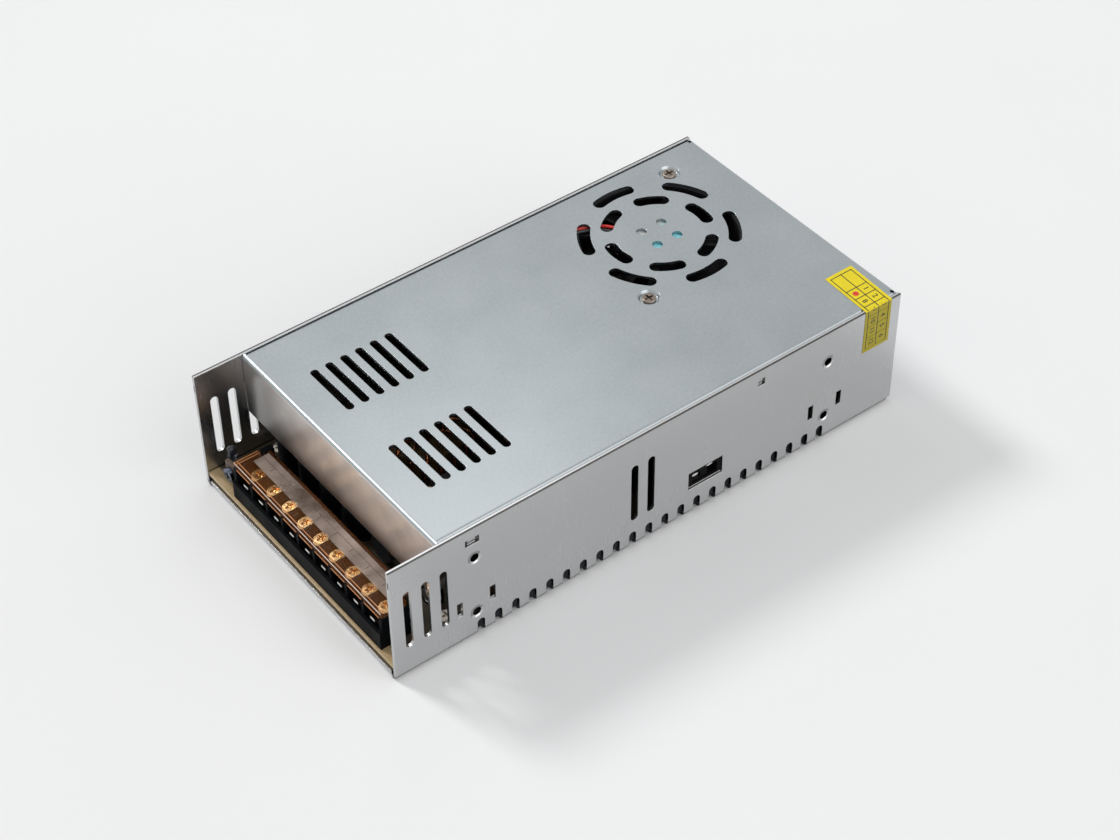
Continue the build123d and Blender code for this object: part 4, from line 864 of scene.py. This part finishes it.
# Painted shade: the aluminium of the tops is far darker than the heatsinks' aluminium, for the shade inside
# the case.
shaded_top_metal = sheet_metal(
    "pressed_aluminium",
    (0.08, 0.08, 0.085),
    (0.16, 0.16, 0.17),
    0.5, 1200.0, (1.0, 1.0, 1.0), 0.004 * MM, 0.1 * MM,
)
add_piece("capacitor_tops", tops, shaded_top_metal, smooth=False)
stripe_finish = moulded("sleeve_stripe", (0.30, 0.32, 0.34), 0.35, edge=0.0)
add_piece("capacitor_stripes", stripes, stripe_finish)

# %% [markdown]
# The amber cover carries a frosted strip behind the screws, with a thin line and one tick between each
# pair of poles. It is a film with a real thickness, see-through but dull, and it swings with the cover. Its
# mottled colour, line and ticks are partly a painted reflection of the front flange and its marks, mirrored
# in the glossy cover.

# %% Frosted strip on the terminal cover
cover_low, cover_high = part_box("terminal_cover")
COVER_TOP = 21.0 * MM
STRIP_INSET, STRIP_FRONT, STRIP_REAR = 3.0 * MM, 6.0 * MM, 12.2 * MM
FILM_THICK, PRINT_THICK = 0.06 * MM, 0.04 * MM
strip_left, strip_right = cover_low.x + STRIP_INSET, cover_high.x - STRIP_INSET
film_top = COVER_TOP + FILM_THICK
strip = bmesh.new()
slab(
    strip,
    (strip_left, cover_low.y + STRIP_FRONT, COVER_TOP),
    (strip_right, cover_low.y + STRIP_REAR, film_top),
)
# Partly painted reflection: the mottled pink-brown stands for the front flange mirrored in the cover.
strip_finish = moulded("frosted_strip", (0.38, 0.28, 0.23), 0.35, edge=0.0)
strip_cloud = noise_on(strip_finish, 100.0, (1.0, 0.6, 1.0), detail=4.0)
colour_between(strip_finish, strip_cloud, (0.13, 0.09, 0.065), (0.72, 0.58, 0.50))
strip_finish.node_tree.nodes["Principled BSDF"].inputs["Alpha"].default_value = 0.5
add_piece("terminal_cover_strip", strip, strip_finish, "terminal_cover_body", smooth=False)

# %% Line and ticks on the strip
POLE_PITCH = 9.5 * MM
BLOCK_MIDDLE = 3.8 * MM
TICK_WIDTH, TICK_LENGTH, LINE_WIDTH = 0.24 * MM, 2.0 * MM, 0.15 * MM
TICK_START = 7.8 * MM
print_top = film_top + PRINT_THICK
line_y = cover_low.y + TICK_START + TICK_LENGTH
ticks = bmesh.new()
for pole in range(1, 9):
    x = BLOCK_MIDDLE + POLE_PITCH * (pole - 4.5)
    slab(ticks, (x - TICK_WIDTH / 2, line_y - TICK_LENGTH, film_top), (x + TICK_WIDTH / 2, line_y, print_top))
slab(ticks, (strip_left, line_y, film_top), (strip_right, line_y + LINE_WIDTH, print_top))
tick_finish = moulded("tick_ink", (0.06, 0.035, 0.025), 0.5, edge=0.0)
add_piece("terminal_cover_ticks", ticks, tick_finish, "terminal_cover_body", smooth=False)

# %% [markdown]
# A moulded edge gathers light. Along the front of the amber cover the top edge shines pale and the lower
# edge orange, and the inner edge of the rim and the left end shine orange. Each shine is a painted
# highlight: a thin strip of colour on the cover.

# %% Painted highlights on the edges of the terminal cover
pale_edges, orange_edges = bmesh.new(), bmesh.new()
RIM_TOP = 21.6 * MM
RIM_WIDTH = 1.2 * MM
RIM_LENGTH = 9.6 * MM
EDGE = 0.18 * MM
PROUD = 0.02 * MM
for mesh, y, z in (
    (pale_edges, 0.0, RIM_TOP),
    (orange_edges, 0.0, cover_low.z + EDGE),
    (orange_edges, RIM_WIDTH, RIM_TOP),
):
    low = (cover_low.x + 0.3 * MM, cover_low.y + y - PROUD, z - EDGE)
    slab(mesh, low, (cover_high.x - 0.3 * MM, cover_low.y + y + EDGE, z + PROUD))
for side in (cover_low.x + 0.1 * MM, cover_low.x + 1.25 * MM):
    low = (side, cover_low.y, RIM_TOP - EDGE)
    slab(orange_edges, low, (side + EDGE, cover_low.y + RIM_LENGTH, RIM_TOP + PROUD))
# Painted highlights: pale and orange strips stand for light caught on the edges.
for name, mesh, colour in (
    ("pale_edge", pale_edges, (0.85, 0.66, 0.55)),
    ("orange_edges", orange_edges, (0.62, 0.25, 0.08)),
):
    finish = moulded(name, colour, 0.3, edge=0.0)
    add_piece(f"terminal_cover_{name}", mesh, finish, "terminal_cover_body", smooth=False)

# %% [markdown]
# Behind the notches of the tray lies a dark dust gauze with a fine weave. Its near-black is also painted
# shade for the dark inside the notches. Each side has one strip of it, bent to follow the inside of the
# fold: a profile of points, drawn along the case.

# %% Gauze behind the notches
GAUZE_HALF = 78.0 * MM
gauze = bmesh.new()
for side in (-1, 1):
    profile = [(56.24, 7.9)] + [
        (55.24 + sin(turn), 2.26 - cos(turn)) for turn in [radians(90 - 15 * step) for step in range(7)]
    ]
    profile.append((50.3, 1.26))
    line = [gauze.verts.new(mm(side * x, -GAUZE_HALF / MM, z)) for x, z in profile]
    edges = [gauze.edges.new(pair) for pair in zip(line, line[1:])]
    drawn = bmesh.ops.extrude_edge_only(gauze, edges=edges)["geom"]
    moved = [item for item in drawn if isinstance(item, bmesh.types.BMVert)]
    bmesh.ops.translate(gauze, verts=moved, vec=(0, 2 * GAUZE_HALF, 0))
bmesh.ops.solidify(gauze, geom=gauze.faces[:], thickness=0.03 * MM)
# Partly painted shade: the gauze is near-black so that the notches look dark inside.
gauze_finish, gauze_shader = new_finish("dust_gauze", (0.012, 0.014, 0.02), 0.55)
gauze_shader.inputs["Specular IOR Level"].default_value = 0.15
weave = noise_on(gauze_finish, 2600.0, (1.0, 1.0, 1.0), detail=1.0)
colour_between(gauze_finish, weave, (0.004, 0.005, 0.007), (0.035, 0.04, 0.05))
relief(gauze_finish, weave, 0.05 * MM)
add_piece("notch_gauze", gauze, gauze_finish)

# %% [markdown]
# Each clamp ends in a small tongue that folds down over the front edge of its plate. Its near-white colour
# is a painted glint: under the amber cover it is the one thing of the terminals that catches the light.

# %% Tongues of the terminal clamps
plate_low, plate_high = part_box("terminal_plates")
TONGUE_MIDDLE, TONGUE_HALF, TONGUE_BEVEL = 3.3 * MM, 1.2 * MM, 0.06 * MM
tongues = bmesh.new()
for pole in range(9):
    x = TONGUE_MIDDLE + POLE_PITCH * (pole - 4)
    low = (x - TONGUE_HALF, plate_low.y - 0.15 * MM, plate_high.z - 0.85 * MM)
    verts = slab(tongues, low, (x + TONGUE_HALF, plate_low.y + 0.05 * MM, plate_high.z - 0.05 * MM))
    edges = list({edge for vert in verts for edge in vert.link_edges})
    bmesh.ops.bevel(
        tongues, geom=edges, offset=TONGUE_BEVEL, segments=2, profile=0.5, affect="EDGES", material=-1
    )
# Painted glint: the tongue is near-white and matt so that it shines under the amber cover.
tongue_glint_finish = moulded("tongue_painted_glint", (0.86, 0.86, 0.84), 0.3, change=0.04, edge=0.0)
add_piece("clamp_tongues", tongues, tongue_glint_finish, smooth=False)

# %% [markdown]
# The voltage selector shows two pale oval marks, one on the slider and one on the rim of its recess, and a
# light line along the bottom of its boss. The marks are flattened pale rounds. Only the first moves with the
# slider.

# %% Marks on the selector
slider_low, slider_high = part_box("selector_slider")
BOSS_FACE = 57.0 * MM
MARK_HALF = 1.35 * MM
MARK_LIFT = 0.02 * MM
mark_finish = moulded("selector_pale_mark", (0.62, 0.62, 0.60), 0.5, edge=0.0)


def oval_mark(x, y, z, rise):
    """A bmesh of one flat oval that faces +X. Rise is its height for a length of 1."""
    mesh = bmesh.new()
    turned = Matrix.Rotation(pi / 2, 4, "Y") @ Matrix.Diagonal((rise, 1.0, 1.0, 1.0))
    matrix = Matrix.Translation((x, y, z)) @ turned
    bmesh.ops.create_cone(
        mesh, cap_ends=True, segments=20, radius1=MARK_HALF, radius2=MARK_HALF, depth=0.05 * MM, matrix=matrix
    )
    return mesh


slider_mark = oval_mark(slider_high.x + MARK_LIFT, slider_low.y + 1.5 * MM, 16.6 * MM, 0.36)
rim_mark = oval_mark(BOSS_FACE + MARK_LIFT, CASE_FRONT + 130.5 * MM, 18.4 * MM, 0.27)
slab(
    rim_mark,
    (BOSS_FACE - 0.01 * MM, CASE_FRONT + 121.5 * MM, 12.35 * MM),
    (BOSS_FACE + 0.04 * MM, CASE_FRONT + 135.5 * MM, 12.6 * MM),
)
for name, mesh, body in (
    ("selector_mark_left", slider_mark, "selector_slider_body"),
    ("selector_mark_right", rim_mark, "case"),
):
    add_piece(name, mesh, mark_finish, body, smooth=False)
